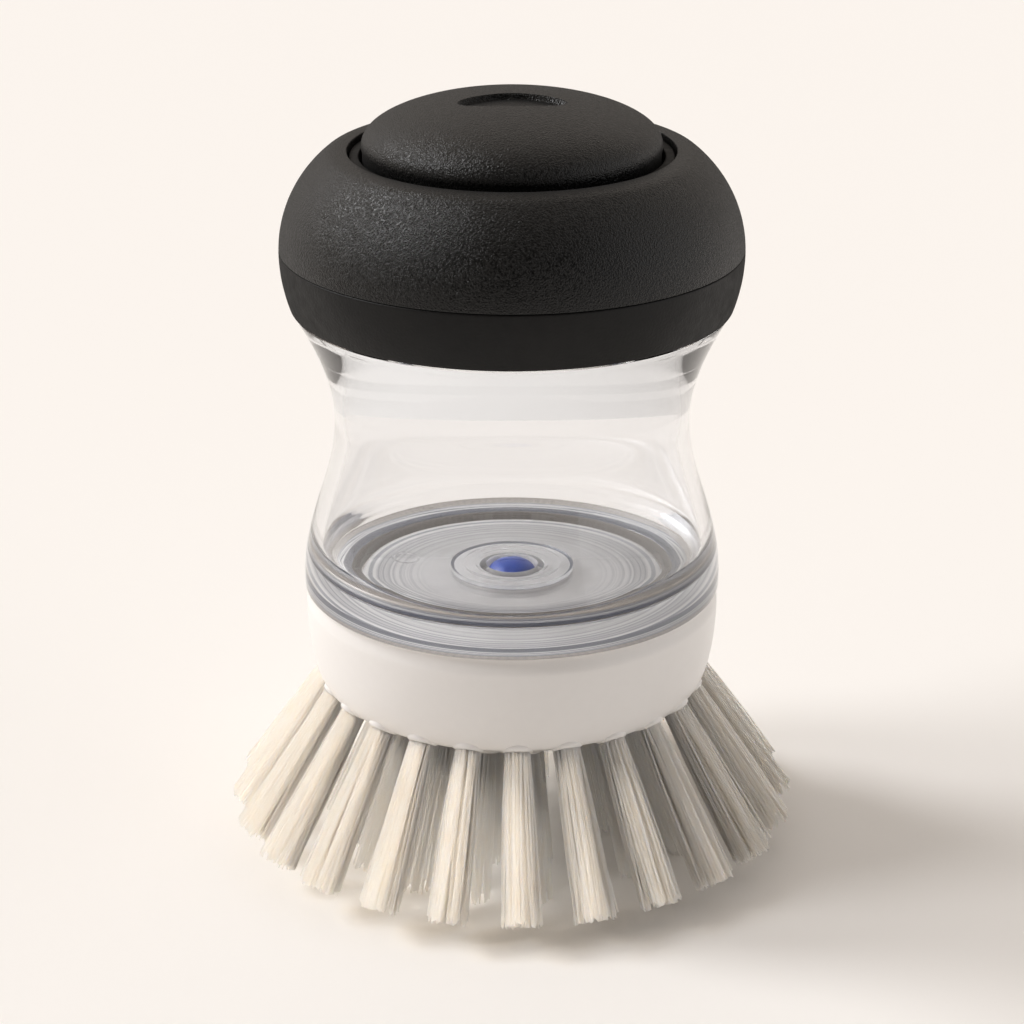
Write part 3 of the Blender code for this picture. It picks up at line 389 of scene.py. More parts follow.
def add_tuft(points, faces, ring_radius, azimuth, count, spread, length, seed):
    """Add the strands of one tuft to lists of points and faces; without a length they reach the ground."""
    rng = random.Random(seed)
    axis = tuft_axis(ring_radius)
    side = Vector((0, 1, 0))
    up = axis.cross(side)
    about = Matrix.Rotation(azimuth, 3, "Z")
    centre = Vector((0, 0, DOME_CENTRE_Z))
    clumps = disc_points(CLUMPS, rng)
    reach = length or DOME_CENTRE_Z / -axis.z - DOME_RADIUS
    for spot in disc_points(count, rng):
        far = clumped(spot, clumps)
        stretch = rng.uniform(*STRETCH_SHARES)
        if rng.random() < STRAY_SHARE:
            stretch *= STRAY_REACH_SHARE
        root = centre + axis * (DOME_RADIUS - ROOT_DEPTH) + (side * spot[0] + up * spot[1]) * TUFT_ROOT_SPREAD
        tip = centre + axis * (DOME_RADIUS + reach) + (side * far[0] + up * far[1]) * spread * stretch
        flat_z = None
        if length:
            tip += axis * rng.uniform(*TIP_RAGGED_SHARES) * TIP_RAGGEDNESS
        else:
            flat_z = TIP_CLEARANCE + rng.random() * TIP_RAGGEDNESS
            tip = root + (tip - root) * (root.z - flat_z) / (root.z - tip.z)
        bow = (side * rng.uniform(-1, 1) + up * rng.uniform(-1, 1)) * BEND
        path = []
        for i in range(STRAND_RINGS):
            share = i / (STRAND_RINGS - 1)
            path.append(about @ (root.lerp(tip, share) + bow * 4 * share * (1 - share)))
        add_tube(points, faces, path, STRAND_RADIUS, STRAND_SIDES, flat_z)


def tuft_piece(name, points, faces):
    """The object of the strands in lists of points and faces."""
    mesh = bpy.data.meshes.new(name)
    mesh.from_pydata(points, [], faces)
    smooth(mesh)
    return new_object(name, mesh)


def make_tuft(name, ring_radius, azimuth, count, spread, length, seed):
    """One tuft of fine strands."""
    points = []
    faces = []
    add_tuft(points, faces, ring_radius, azimuth, count, spread, length, seed)
    return tuft_piece(name, points, faces)


def make_inner_arc(name, turn, seed):
    """The strands of one arc of inner tufts."""
    points = []
    faces = []
    step = math.tau / (INNER_ARCS * ARC_TUFTS)
    for i in range(ARC_TUFTS):
        azimuth = turn + step * (i - (ARC_TUFTS - 1) / 2)
        add_tuft(points, faces, INNER_RING_RADIUS, azimuth, INNER_STRANDS, INNER_SPREAD, 0, seed + i)
    return tuft_piece(name, points, faces)


# Reservoir
FOOT_RADIUS = 0.0305
SKIRT_Z = 0.04025
SEAT_LINES = ((0.0263, 0.0268), (0.0270, 0.0275), (0.0277, 0.0281))
FOOT_HEIGHT = 0.0013
WAIST_RADIUS = 0.02566
WAIST_Z = 0.06545
WAIST_WALL = 0.0022
FLARE_HEIGHT = 0.0170
FLARE_TURN = math.radians(72.5)
FLARE_RADIUS = 0.0313
FLANGE_Z = 0.08245
SPIGOT_RADIUS = 0.0243
SPIGOT_WALL = 0.0020
SPIGOT_Z = 0.0348
FLOOR_Z = 0.0413
FLOOR_DISH = 0.0010
FLOOR_WALL = 0.0022
FLOOR_EDGE_RADIUS = 0.0220
FLOOR_FILLET = 0.0052
FILLET_STEPS = 90
RIPPLES = 7
RIPPLE = 0.00002
NECK_RADIUS = 0.0250
NECK_BORE_RADIUS = 0.0228
NECK_Z = 0.09155
THREAD_RISE = 0.0028
THREAD_TURNS = 1.25
THREAD_STANDOFF = 0.0002
THREAD_LEAD = 0.0040
THREAD_RIB_RADIUS = 0.0010
THREAD_STEPS = 48
LUG_SIZE = (0.0024, 0.0060, 0.0011)
LUG_PLACE = (0.0245, 0, 0.03565)
MARK_PLACE = (-0.0159, 0.0034, 0)
MARK_RADIUS = 0.0019
MARK_EDGE = 0.0002
MARKS_FADE = (0.0125, 0.0195)
# Painted rings: bright and dark rings near the floor's edge, in place of refraction lines.
PAINTED_RINGS_FADE = (0.0203, 0.0207)
MARKS_AND_RINGS_SCALE = 1500
MARK_DARK = (0.30, 0.30, 0.32)
# Painted shade and painted highlight colours of those rings.
PAINTED_RING_SHADE = (0.24, 0.25, 0.29)
PAINTED_RING_GLINT = (0.92, 0.90, 0.88)
CLOUDY_SHARE = 0.82
RIM_TICKS = 150

# Valve
COLLAR_RADIUS = 0.00905
COLLAR_Z = 0.0416
COLLAR_TOP_Z = 0.0423
STEM_RADIUS = 0.0047
STEM_CLEARANCE = 0.0003
STEM_Z = 0.0373
VALVE_BORE_RADIUS = 0.0038
VALVE_RADIUS = 0.0035
VALVE_BORE = 0.0026
VALVE_DOME_HEIGHT = 0.0020
VALVE_DOME_RISE = 0.0006
VALVE_WALL = 0.0009
VALVE_FLANGE_RADIUS = 0.0045
VALVE_FLANGE_HEIGHT = 0.0008
VALVE_GAP = 0.0003
SLIT_SIZE = (0.0040, 0.0002, 0.0040)
SLIT_RISE = 0.0020
SLIT_EDGE = 0.00005
CLIP_WALL = 0.0015
CLIP_LIP_Z = 0.0359
CLIP_LIP_HEIGHT = 0.0010
CLIP_LIP_REACH = 0.0024
GROOVE_RADII = (0.0055, 0.0072)
GROOVE_WIDTH = 0.0003
GROOVE_DEPTH = 0.0001


def flare_radius(share):
    """Outer radius of the reservoir above its waist, by the share of the flare's height."""
    rise = (1 - math.cos(FLARE_TURN * share)) / (1 - math.cos(FLARE_TURN))
    return WAIST_RADIUS + (FLARE_RADIUS - WAIST_RADIUS) * rise


def foot_radius(share):
    """Outer radius of the reservoir below its waist, by the share of the way down to the foot."""
    return WAIST_RADIUS + (FOOT_RADIUS - WAIST_RADIUS) * (1 - math.cos(math.pi * share)) / 2


def floor_points(start, end, centre_z):
    """Outline of a dished floor from one radius out to another."""
    points = []
    for i in range(ARC_STEPS + 1):
        share = i / ARC_STEPS
        points.append((start + (end - start) * share, centre_z + FLOOR_DISH * share**2))
    return points


def fillet_points(wall_radius, fillet_z):
    """Outline of the floor's rounded edge, with the fine ripples of its mould."""
    points = []
    for i in range(1, FILLET_STEPS + 1):
        share = i / FILLET_STEPS
        angle = math.pi / 2 * (share - 1)
        ripple = RIPPLE * math.sin(math.tau * RIPPLES * share) * (1 - share)
        across = wall_radius - FLOOR_EDGE_RADIUS + ripple
        rise = FLOOR_FILLET + ripple
        points.append((FLOOR_EDGE_RADIUS + across * math.cos(angle), fillet_z + rise * math.sin(angle)))
    return points


def reservoir_outline():
    """Outline of the clear reservoir with its neck, wall, floor and spigot."""
    foot_z = SKIRT_Z + FOOT_HEIGHT
    underside_z = FLOOR_Z - FLOOR_WALL
    hole = STEM_RADIUS + STEM_CLEARANCE
    points = [(NECK_BORE_RADIUS, NECK_Z), (NECK_RADIUS, NECK_Z), (NECK_RADIUS, FLANGE_Z)]
    for i in range(ARC_STEPS):
        share = 1 - i / ARC_STEPS
        points.append((flare_radius(share), WAIST_Z + FLARE_HEIGHT * share))
    for i in range(2 * ARC_STEPS + 1):
        share = i / (2 * ARC_STEPS)
        points.append((foot_radius(share), WAIST_Z + (foot_z - WAIST_Z) * share))
    points += [(FOOT_RADIUS, SKIRT_Z), (SEAL_SEAT_RADIUS, SKIRT_Z)]
    for low, high in reversed(SEAT_LINES):
        points += [(high, SKIRT_Z), (low, SKIRT_Z)]
    points.append((SPIGOT_RADIUS, SKIRT_Z))
    points.append((SPIGOT_RADIUS, SPIGOT_Z))
    points += [(SPIGOT_RADIUS - SPIGOT_WALL, SPIGOT_Z), (SPIGOT_RADIUS - SPIGOT_WALL, underside_z)]
    points += [(hole, underside_z), (hole, FLOOR_Z)]
    points += floor_points(COLLAR_RADIUS, FLOOR_EDGE_RADIUS, FLOOR_Z)
    fillet_z = FLOOR_Z + FLOOR_DISH + FLOOR_FILLET
    fillet_share = (WAIST_Z - fillet_z) / (WAIST_Z - foot_z)
    wall_radius = foot_radius(fillet_share) - WAIST_WALL
    points += fillet_points(wall_radius, fillet_z)
    for i in range(ARC_STEPS):
        share = fillet_share * (1 - (i + 1) / ARC_STEPS)
        points.append((foot_radius(share) - WAIST_WALL, WAIST_Z + (foot_z - WAIST_Z) * share))
    points.append((NECK_BORE_RADIUS, WAIST_Z + FLARE_HEIGHT / 2))
    return points


def frost_underside(piece, limit_z, frosted, seat_and_shade, rim_shade=None):
    """Give a clear piece's faces below a height their frosted materials.

    The seat is dark where the seal touches, and is painted shade in the gap inside the seal and at the
    collar's edge;
    it lies between fine lines that carry painted bright and dark rings. The rim, what stands out past the
    block, and the spigot carry a grey-brown painted shade.
    """
    for material in (frosted, seat_and_shade, rim_shade or frosted):
        piece.data.materials.append(material)
    for face in piece.data.polygons:
        place = face.center
        if place.z > limit_z or (face.normal.z > DOWNWARD and place.z > SKIRT_Z - FINE_EDGE):
            continue
        radius = math.hypot(place.x, place.y)
        face.material_index = 1
        if rim_shade and place.z > SKIRT_Z - FINE_EDGE:
            on_line = any(low < radius < high for low, high in SEAT_LINES)
            # On the skirt: past the seal seat the rim's painted shade, on the lines the frosted rings,
            # elsewhere the seat colour with its painted shade.
            face.material_index = 3 if radius > SEAL_SEAT_RADIUS else 1 if on_line else 2
        # The spigot gets the rim's grey-brown painted shade.
        elif rim_shade and radius > SPIGOT_RADIUS - SPIGOT_WALL - FINE_EDGE:
            face.material_index = 3
        # The collar's outer edge gets the seat colour as painted shade.
        elif not rim_shade and radius > COLLAR_RADIUS - SOFT_EDGE:
            face.material_index = 2


def make_reservoir():
    """The clear tank, with the rib on its neck and the lugs on its spigot."""
    tank = turned("clear_tank", softened(reservoir_outline(), FINE_EDGE))
    start_z = FLANGE_Z + THREAD_RISE
    rib = helix(NECK_RADIUS + THREAD_STANDOFF, start_z, 0, THREAD_TURNS, THREAD_LEAD, THREAD_STEPS)
    combine(tank, tube_mesh("neck_rib", rib, THREAD_RIB_RADIUS, RIB_SIDES), "UNION")
    combine(tank, boxes_mesh("lugs", LUG_SIZE, LUG_PLACE, LUG_COUNT, FINE_EDGE), "UNION")
    return tank


def collar_outline():
    """Outline of the valve's clear collar, with fine grooves in its top."""
    points = [(VALVE_BORE_RADIUS, COLLAR_TOP_Z)]
    for radius in GROOVE_RADII:
        for shift, drop in ((-1, 0), (0, GROOVE_DEPTH), (1, 0)):
            points.append((radius + shift * GROOVE_WIDTH, COLLAR_TOP_Z - drop))
    points += [(COLLAR_RADIUS, COLLAR_TOP_Z), (COLLAR_RADIUS, COLLAR_Z)]
    points += [(COLLAR_RADIUS - SOFT_EDGE, COLLAR_Z), (STEM_RADIUS, COLLAR_Z)]
    points += [(STEM_RADIUS, STEM_Z), (VALVE_BORE_RADIUS, STEM_Z)]
    return points


def make_valve():
    """The blue slit valve."""
    dome_z = COLLAR_TOP_Z + VALVE_DOME_RISE - VALVE_DOME_HEIGHT
    flange_z = STEM_Z - VALVE_GAP
    foot_z = flange_z - VALVE_FLANGE_HEIGHT
    outline = arc((0, dome_z), (VALVE_RADIUS, VALVE_DOME_HEIGHT), math.pi / 2, 0)
    outline += [(VALVE_RADIUS, flange_z), (VALVE_FLANGE_RADIUS, flange_z)]
    outline += [(VALVE_FLANGE_RADIUS, foot_z), (VALVE_BORE, foot_z)]
    outline += arc((0, dome_z), (VALVE_BORE, VALVE_DOME_HEIGHT - VALVE_WALL), 0, math.pi / 2)
    valve = turned("slit_valve", softened(outline, FINE_EDGE, closed=False), SMALL_STEPS, closed=False)
    slit = boxes_mesh("slit", SLIT_SIZE, (0, 0, dome_z + SLIT_RISE), 1, SLIT_EDGE)
    combine(valve, slit, "DIFFERENCE")
    return valve


def make_clip():
    """The ring that holds the valve and its collar under the floor."""
    bore = STEM_RADIUS + STEM_CLEARANCE
    outer = bore + CLIP_WALL
    lip_radius = bore - CLIP_LIP_REACH
    foot_z = CLIP_LIP_Z - CLIP_LIP_HEIGHT
    top = FLOOR_Z - FLOOR_WALL - VALVE_GAP
    outline = [(bore, top), (outer, top), (outer, foot_z), (lip_radius, foot_z)]
    outline += [(lip_radius, CLIP_LIP_Z), (bore, CLIP_LIP_Z)]
    return turned("retaining_clip", softened(outline, FINE_EDGE), SMALL_STEPS)


# Cap
GASKET_INNER_GAP = 0.0001
GASKET_OUTER_GAP = 0.0003
CORE_RADIUS = 0.0286
CORE_BORE_RADIUS = 0.0268
CORE_FOOT_Z = 0.08305
CORE_THREAD_RISE = 0.0022
CORE_THREAD_START = 0.35
CORE_THREAD_TURNS = 1
PLATE_UNDER_Z = 0.09395
PLATE_Z = 0.09605
PORT_RADIUS = 0.0090
GUIDE_RADIUS = 0.02145
GUIDE_WALL = 0.0019
LEDGE_Z = 0.1042
LEDGE_FOOT_Z = 0.1027
LEDGE_RADIUS = 0.0228
BAND_BORE_RADIUS = 0.0289
CAP_RADIUS = 0.0330
BAND_TUCK = 0.0014
BAND_FOOT_Z = 0.08275
BAND_HEIGHT = 0.0078
WIDEST_Z = 0.09055
SEAM_Z = 0.09105
SEAM_GAP = 0.00008
GRIP_ARC_CENTRE = 0.0153
GRIP_WALL = 0.0028
RIM_RADIUS = 0.0252
RIM_Z = 0.1051
RIM_START_DROP = 0.00012
RIM_PEAK_RISE = 0.0001
RIM_JOIN_RADIUS = 0.0265
RIM_STEPS = 12
LIP_RADIUS = 0.0231
LIP_Z = 0.1030

# Button
BUTTON_RADIUS = 0.0211
BUTTON_EDGE_Z = 0.1056
BUTTON_EDGE_DROP = 0.0009
SKIRT_STEP = 0.00015
BUTTON_FOOT_Z = 0.10035
BUTTON_DOME_HEIGHT = 0.0071
BUTTON_WALL = 0.0022
DOME_RADIUS_POWER = 1.2
DOME_HEIGHT_POWER = 0.92
DOME_RINGS = 160
RECESS_LENGTH = 0.0152
RECESS_WIDTH = 0.0060
RECESS_DEPTH = 0.0009
RECESS_SHIFT = 0.0024
RECESS_EDGE_SHARE = 0.94


def make_core():
    """The threaded carrier in the cap, whose guide shows as a ledge round the button."""
    guide_outer = GUIDE_RADIUS + GUIDE_WALL
    outline = [(GUIDE_RADIUS, LEDGE_Z), (LEDGE_RADIUS, LEDGE_Z), (LEDGE_RADIUS, LEDGE_FOOT_Z)]
    outline += [(guide_outer, LEDGE_FOOT_Z), (guide_outer, PLATE_Z)]
    outline += [(CORE_RADIUS, PLATE_Z), (CORE_RADIUS, CORE_FOOT_Z), (CORE_BORE_RADIUS, CORE_FOOT_Z)]
    outline += [(CORE_BORE_RADIUS, PLATE_UNDER_Z), (PORT_RADIUS, PLATE_UNDER_Z), (PORT_RADIUS, PLATE_Z)]
    outline.append((GUIDE_RADIUS, PLATE_Z))
    core = turned("threaded_carrier", softened(outline, FINE_EDGE))
    start_z = FLANGE_Z + CORE_THREAD_RISE
    radius = CORE_BORE_RADIUS - THREAD_STANDOFF
    rib = helix(radius, start_z, CORE_THREAD_START, CORE_THREAD_TURNS, THREAD_LEAD, THREAD_STEPS)
    combine(core, tube_mesh("carrier_rib", rib, THREAD_RIB_RADIUS, RIB_SIDES), "UNION")
    return core


def make_band():
    """The smooth lower band of the cap."""
    top = SEAM_Z - SEAM_GAP / 2
    outline = [(BAND_BORE_RADIUS, top), (CAP_RADIUS, top)]
    for i in range(ARC_STEPS + 1):
        share = i / ARC_STEPS
        outline.append((CAP_RADIUS - BAND_TUCK * share**2, WIDEST_Z - BAND_HEIGHT * share))
    outline.append((BAND_BORE_RADIUS, BAND_FOOT_Z))
    return turned("lower_band", softened(outline, FINE_EDGE))


def make_grip():
    """The soft upper shell of the cap, with its rounded rim."""
    foot_z = SEAM_Z + SEAM_GAP / 2
    reach = CAP_RADIUS - GRIP_ARC_CENTRE
    rim_angle = math.acos((RIM_RADIUS - GRIP_ARC_CENTRE) / reach)
    rise = (RIM_Z - WIDEST_Z) / math.sin(rim_angle)
    inner_reach = reach - GRIP_WALL
    inner_rise = rise - GRIP_WALL
    centre = (GRIP_ARC_CENTRE, WIDEST_Z)
    foot_angle = math.asin((foot_z - WIDEST_Z) / rise)
    inner_foot_angle = math.asin((foot_z - WIDEST_Z) / inner_rise)
    lip_angle = math.asin((LIP_Z - WIDEST_Z) / inner_rise)
    join_angle = math.acos((RIM_JOIN_RADIUS - GRIP_ARC_CENTRE) / reach)
    join = Vector((RIM_JOIN_RADIUS, WIDEST_Z + rise * math.sin(join_angle)))
    start = Vector((LIP_RADIUS, RIM_Z - RIM_START_DROP))
    peak_z = RIM_Z + RIM_PEAK_RISE
    peak = Vector((RIM_JOIN_RADIUS - (peak_z - join.y) * reach * math.tan(join_angle) / rise, peak_z))
    outline = [(LIP_RADIUS, LIP_Z)]
    for i in range(RIM_STEPS):
        share = i / RIM_STEPS
        outline.append(tuple(start * (1 - share) ** 2 + peak * 2 * share * (1 - share) + join * share**2))
    outline += arc(centre, (reach, rise), join_angle, foot_angle, 3 * ARC_STEPS)
    outline += arc(centre, (inner_reach, inner_rise), inner_foot_angle, lip_angle)
    return turned("soft_shell", softened(outline, FINE_EDGE))


def button_dome(inset, steps):
    """Outline of the button's dome, from its crown to its edge, or of one inside it."""
    points = []
    for i in range(steps + 1):
        angle = math.pi / 2 * (1 - i / steps)
        across = math.cos(angle) ** DOME_RADIUS_POWER if i else 0
        up = math.sin(angle) ** DOME_HEIGHT_POWER
        points.append(((BUTTON_RADIUS - inset) * across, BUTTON_EDGE_Z + (BUTTON_DOME_HEIGHT - inset) * up))
    return points


def make_button():
    """The domed button with the bare oval recess in its crown."""
    outline = button_dome(0, DOME_RINGS)
    for share in (1 / 3, 2 / 3, 1):
        outline.append((BUTTON_RADIUS - SKIRT_STEP * share**2, BUTTON_EDGE_Z - BUTTON_EDGE_DROP * share))
    outline += [(BUTTON_RADIUS - SKIRT_STEP, BUTTON_FOOT_Z), (BUTTON_RADIUS - BUTTON_WALL, BUTTON_FOOT_Z)]
    outline += reversed(button_dome(BUTTON_WALL, ARC_STEPS))
    button = turned("press_dome", softened(outline, FINE_EDGE, closed=False), closed=False)
    for vertex in button.data.vertices:
        spot = vertex.co
        across = spot.x / (RECESS_LENGTH / 2)
        deep = (spot.y + RECESS_SHIFT) / (RECESS_WIDTH / 2)
        share = math.hypot(across, deep)
        if share < 1 and spot.z > BUTTON_EDGE_Z + BUTTON_DOME_HEIGHT / 2:
            blend = min(1, (1 - share) / (1 - RECESS_EDGE_SHARE))
            spot.z -= RECESS_DEPTH * blend * blend * (3 - 2 * blend)
    return button


# Materials
PLASTIC_IOR = 1.49
NYLON_IOR = 1.25
GRAIN_SCALE = 4300
SPECK_SCALE = 2800
EDGE_ROUGHNESS = 0.4
EDGE_FADE = (0.45, 0.95)
DOT_FADE = (0.1, 0.7)
TURNING_FADE = (0.40, 0.60)
FINE_DEPTH = 0.00003
SOFT_DEPTH = 0.00005
GRAIN_DEPTH = 0.00006
CAP_GRAIN_DEPTH = 0.00007
WAVE_DEPTH = 0.0006
MARK_DEPTH = 0.0002
NYLON_GLOW_DEPTH = 0.002
# The grip's own black, and a lighter grey painted on the grain's bumps as glints.
GRIP_COLOUR_AND_PAINTED_GLINT = ((0.0022, 0.0022, 0.0022), (0.013, 0.0128, 0.0125))
CAP_COLOURS = ((0.0035, 0.0035, 0.0036), (0.0058, 0.0056, 0.0054))
CLEAR_COLOUR = (0.955, 0.96, 0.97)
CLEAR_SHADOW = (0.82, 0.82, 0.82)
FROSTED_COLOUR = (0.86, 0.84, 0.83)
FROSTED_SHADOW = (0.45, 0.44, 0.43)
# Dark where the seal touches; also painted shade in the gap inside the seal and at the collar's edge.
SEAT_AND_PAINTED_SHADE_COLOUR = (0.06, 0.068, 0.105)
# Grey-brown painted shade for the rim past the block and for the spigot, in place of the shaded band seen
# through the foot.
RIM_PAINTED_SHADE_COLOUR = (0.34, 0.295, 0.255)
WHITE_COLOURS = ((0.875, 0.85, 0.828), (0.865, 0.84, 0.818))
BLUE_COLOURS = ((0.022, 0.05, 0.29), (0.03, 0.075, 0.36))
SEAL_COLOURS = ((0.085, 0.09, 0.11), (0.12, 0.125, 0.145))
NYLON_COLOURS = ((0.995, 0.978, 0.938), (0.965, 0.922, 0.86))
NYLON_SHADOW = (1.0, 0.98, 0.95)


def new_material(name, colour, roughness, specular=0.5):
    """A Principled material, its tree and its shader."""
    material = bpy.data.materials.new(name)
    material.use_nodes = True
    tree = material.node_tree
    shader = tree.nodes["Principled BSDF"]
    shader.inputs["Base Color"].default_value = (*colour, 1)
    shader.inputs["Roughness"].default_value = roughness
    shader.inputs["Specular IOR Level"].default_value = specular
    return material, tree, shader


def noise(tree, scale, detail=3.0, stretch=None):
    """A noise over the object's own coordinates, drawn out along an axis with stretch."""
    coordinates = tree.nodes.new("ShaderNodeTexCoord")
    texture = tree.nodes.new("ShaderNodeTexNoise")
    texture.inputs["Scale"].default_value = scale
    texture.inputs["Detail"].default_value = detail
    source = coordinates.outputs["Object"]
    if stretch:
        mapping = tree.nodes.new("ShaderNodeMapping")
        mapping.inputs["Scale"].default_value = stretch
        tree.links.new(source, mapping.inputs["Vector"])
        source = mapping.outputs["Vector"]
    tree.links.new(source, texture.inputs["Vector"])
    return texture.outputs["Fac"]


def mapped(tree, value, low, high, from_low=0.3, from_high=0.7):
    """A value spread over a new range."""
    node = tree.nodes.new("ShaderNodeMapRange")
    node.inputs["From Min"].default_value = from_low
    node.inputs["From Max"].default_value = from_high
    node.inputs["To Min"].default_value = low
    node.inputs["To Max"].default_value = high
    tree.links.new(value, node.inputs["Value"])
    return node.outputs["Result"]


def blended(tree, value, first, second):
    """A colour between two, by a value."""
    node = tree.nodes.new("ShaderNodeMix")
    node.data_type = "RGBA"
    node.inputs["A"].default_value = (*first, 1)
    node.inputs["B"].default_value = (*second, 1)
    tree.links.new(value, node.inputs["Factor"])
    return node.outputs["Result"]


def mixed(tree, value, first, second):
    """A colour between two colour outputs, by a value."""
    node = tree.nodes.new("ShaderNodeMix")
    node.data_type = "RGBA"
    tree.links.new(value, node.inputs["Factor"])
    tree.links.new(first, node.inputs["A"])
    tree.links.new(second, node.inputs["B"])
    return node.outputs["Result"]


def dots(tree, scale):
    """A height with a round bump in each cell."""
    coordinates = tree.nodes.new("ShaderNodeTexCoord")
    cells = tree.nodes.new("ShaderNodeTexVoronoi")
    cells.inputs["Scale"].default_value = scale
    tree.links.new(coordinates.outputs["Object"], cells.inputs["Vector"])
    return mapped(tree, cells.outputs["Distance"], 1, 0, *DOT_FADE)


def bump(tree, shader, height, strength, distance, before=None):
    """Bump a shader's surface by a height."""
    node = tree.nodes.new("ShaderNodeBump")
    node.inputs["Strength"].default_value = strength
    node.inputs["Distance"].default_value = distance
    tree.links.new(height, node.inputs["Height"])
    if before:
        tree.links.new(before, node.inputs["Normal"])
    tree.links.new(node.outputs["Normal"], shader.inputs["Normal"])
    return node.outputs["Normal"]


def added(tree, first, second):
    """The sum of two values."""
    node = tree.nodes.new("ShaderNodeMath")
    node.operation = "ADD"
    tree.links.new(first, node.inputs[0])
    tree.links.new(second, node.inputs[1])
    return node.outputs["Value"]


def from_axis(tree, place=(0, 0, 0)):
    """Distance from the Z axis, or from a line beside it."""
    coordinates = tree.nodes.new("ShaderNodeTexCoord")
    flat = tree.nodes.new("ShaderNodeVectorMath")
    flat.operation = "MULTIPLY"
    flat.inputs[1].default_value = (1, 1, 0)
    away = tree.nodes.new("ShaderNodeVectorMath")
    away.operation = "DISTANCE"
    away.inputs[1].default_value = place
    tree.links.new(coordinates.outputs["Object"], flat.inputs[0])
    tree.links.new(flat.outputs["Vector"], away.inputs[0])
    return away.outputs["Value"]


def marks_and_painted_rings(tree, radius, scale):
    """A value that changes from ring to ring round the axis, on level and on upright faces."""
    coordinates = tree.nodes.new("ShaderNodeTexCoord")
    parts = tree.nodes.new("ShaderNodeSeparateXYZ")
    tree.links.new(coordinates.outputs["Object"], parts.inputs["Vector"])
    texture = tree.nodes.new("ShaderNodeTexNoise")
    texture.noise_dimensions = "1D"
    texture.inputs["Scale"].default_value = scale
    texture.inputs["Detail"].default_value = 1.0
    tree.links.new(added(tree, radius, parts.outputs["Z"]), texture.inputs["W"])
    return mapped(tree, texture.outputs["Fac"], 0, 1, *TURNING_FADE)


def radial_lines(tree, count):
    """A value that swings from 0 to 1 and back so many times round the Z axis."""
    coordinates = tree.nodes.new("ShaderNodeTexCoord")
    gradient = tree.nodes.new("ShaderNodeTexGradient")
    gradient.gradient_type = "RADIAL"
    tree.links.new(coordinates.outputs["Object"], gradient.inputs["Vector"])
    swing = tree.nodes.new("ShaderNodeMath")
    swing.operation = "PINGPONG"
    swing.inputs[1].default_value = 1 / (2 * count)
    tree.links.new(gradient.outputs["Fac"], swing.inputs[0])
    return mapped(tree, swing.outputs["Value"], 0, 1, 0, 1 / (2 * count))


def lets_light_by(tree, shader, colour):
    """Let light of a colour past in shadows."""
    path = tree.nodes.new("ShaderNodeLightPath")
    clear = tree.nodes.new("ShaderNodeBsdfTransparent")
    clear.inputs["Color"].default_value = (*colour, 1)
    mix = tree.nodes.new("ShaderNodeMixShader")
    tree.links.new(path.outputs["Is Shadow Ray"], mix.inputs["Fac"])
    tree.links.new(shader.outputs["BSDF"], mix.inputs[1])
    tree.links.new(clear.outputs["BSDF"], mix.inputs[2])
    tree.links.new(mix.outputs["Shader"], tree.nodes["Material Output"].inputs["Surface"])


def edge_roughness(tree):
    """A roughness that grows from 0 towards grazing angles."""
    weight = tree.nodes.new("ShaderNodeLayerWeight")
    weight.inputs["Blend"].default_value = 0.5
    return mapped(tree, weight.outputs["Facing"], 0, EDGE_ROUGHNESS, *EDGE_FADE)


def vary_colour(tree, shader, scale, colours):
    """Vary a shader's colour between two by a noise."""
    colour = blended(tree, mapped(tree, noise(tree, scale), 0, 1), *colours)
    tree.links.new(colour, shader.inputs["Base Color"])


def vary_roughness(tree, shader, scale, low, high, detail=3.0):
    """Vary a shader's roughness by a noise."""
    tree.links.new(mapped(tree, noise(tree, scale, detail), low, high), shader.inputs["Roughness"])


def grip_material():
    """Soft black grip with a fine leathery grain, with lighter specks painted on its bumps as glints."""
    material, tree, shader = new_material("soft_grip_black", (0.004, 0.004, 0.004), 0.34, 0.29)
    grain_and_glint_specks = dots(tree, GRAIN_SCALE)
    # Lighter specks on the grain's bumps are painted glints; the same specks bump the surface.
    tree.links.new(blended(tree, grain_and_glint_specks, *GRIP_COLOUR_AND_PAINTED_GLINT), shader.inputs["Base Color"])
    gloss = mapped(tree, noise(tree, SPECK_SCALE, 2.0), 0.33, 0.22)
    tree.links.new(added(tree, gloss, edge_roughness(tree)), shader.inputs["Roughness"])
    grain = added(tree, grain_and_glint_specks, mapped(tree, noise(tree, SPECK_SCALE, 2.0), 0, 0.7))
    bump(tree, shader, grain, 0.9, GRAIN_DEPTH)
    return material


def cap_material():
    """Black plastic with a finer, smoother texture."""
    material, tree, shader = new_material("cap_plastic_black", (0.004, 0.004, 0.004), 0.40, 0.2)
    vary_colour(tree, shader, 120, CAP_COLOURS)
    gloss = mapped(tree, noise(tree, 600), 0.38, 0.48)
    tree.links.new(added(tree, gloss, edge_roughness(tree)), shader.inputs["Roughness"])
    bump(tree, shader, noise(tree, SPECK_SCALE, 2.0), 0.6, CAP_GRAIN_DEPTH)
    return material


def clear_material():
    """Clear plastic with a slight cool tint, faint moulding waves and a round gate mark in the floor."""
    material, tree, shader = new_material("clear_plastic", CLEAR_COLOUR, 0.02)
    shader.inputs["Transmission Weight"].default_value = 1
    shader.inputs["IOR"].default_value = PLASTIC_IOR
    mark = mapped(tree, from_axis(tree, MARK_PLACE), 1, 0, MARK_RADIUS - MARK_EDGE, MARK_RADIUS + MARK_EDGE)
    waves = bump(tree, shader, noise(tree, 45, 1.0), 0.12, WAVE_DEPTH)
    bump(tree, shader, mark, 0.8, MARK_DEPTH, waves)
    vary_roughness(tree, shader, 300, 0.012, 0.035)
    lets_light_by(tree, shader, CLEAR_SHADOW)
    return material


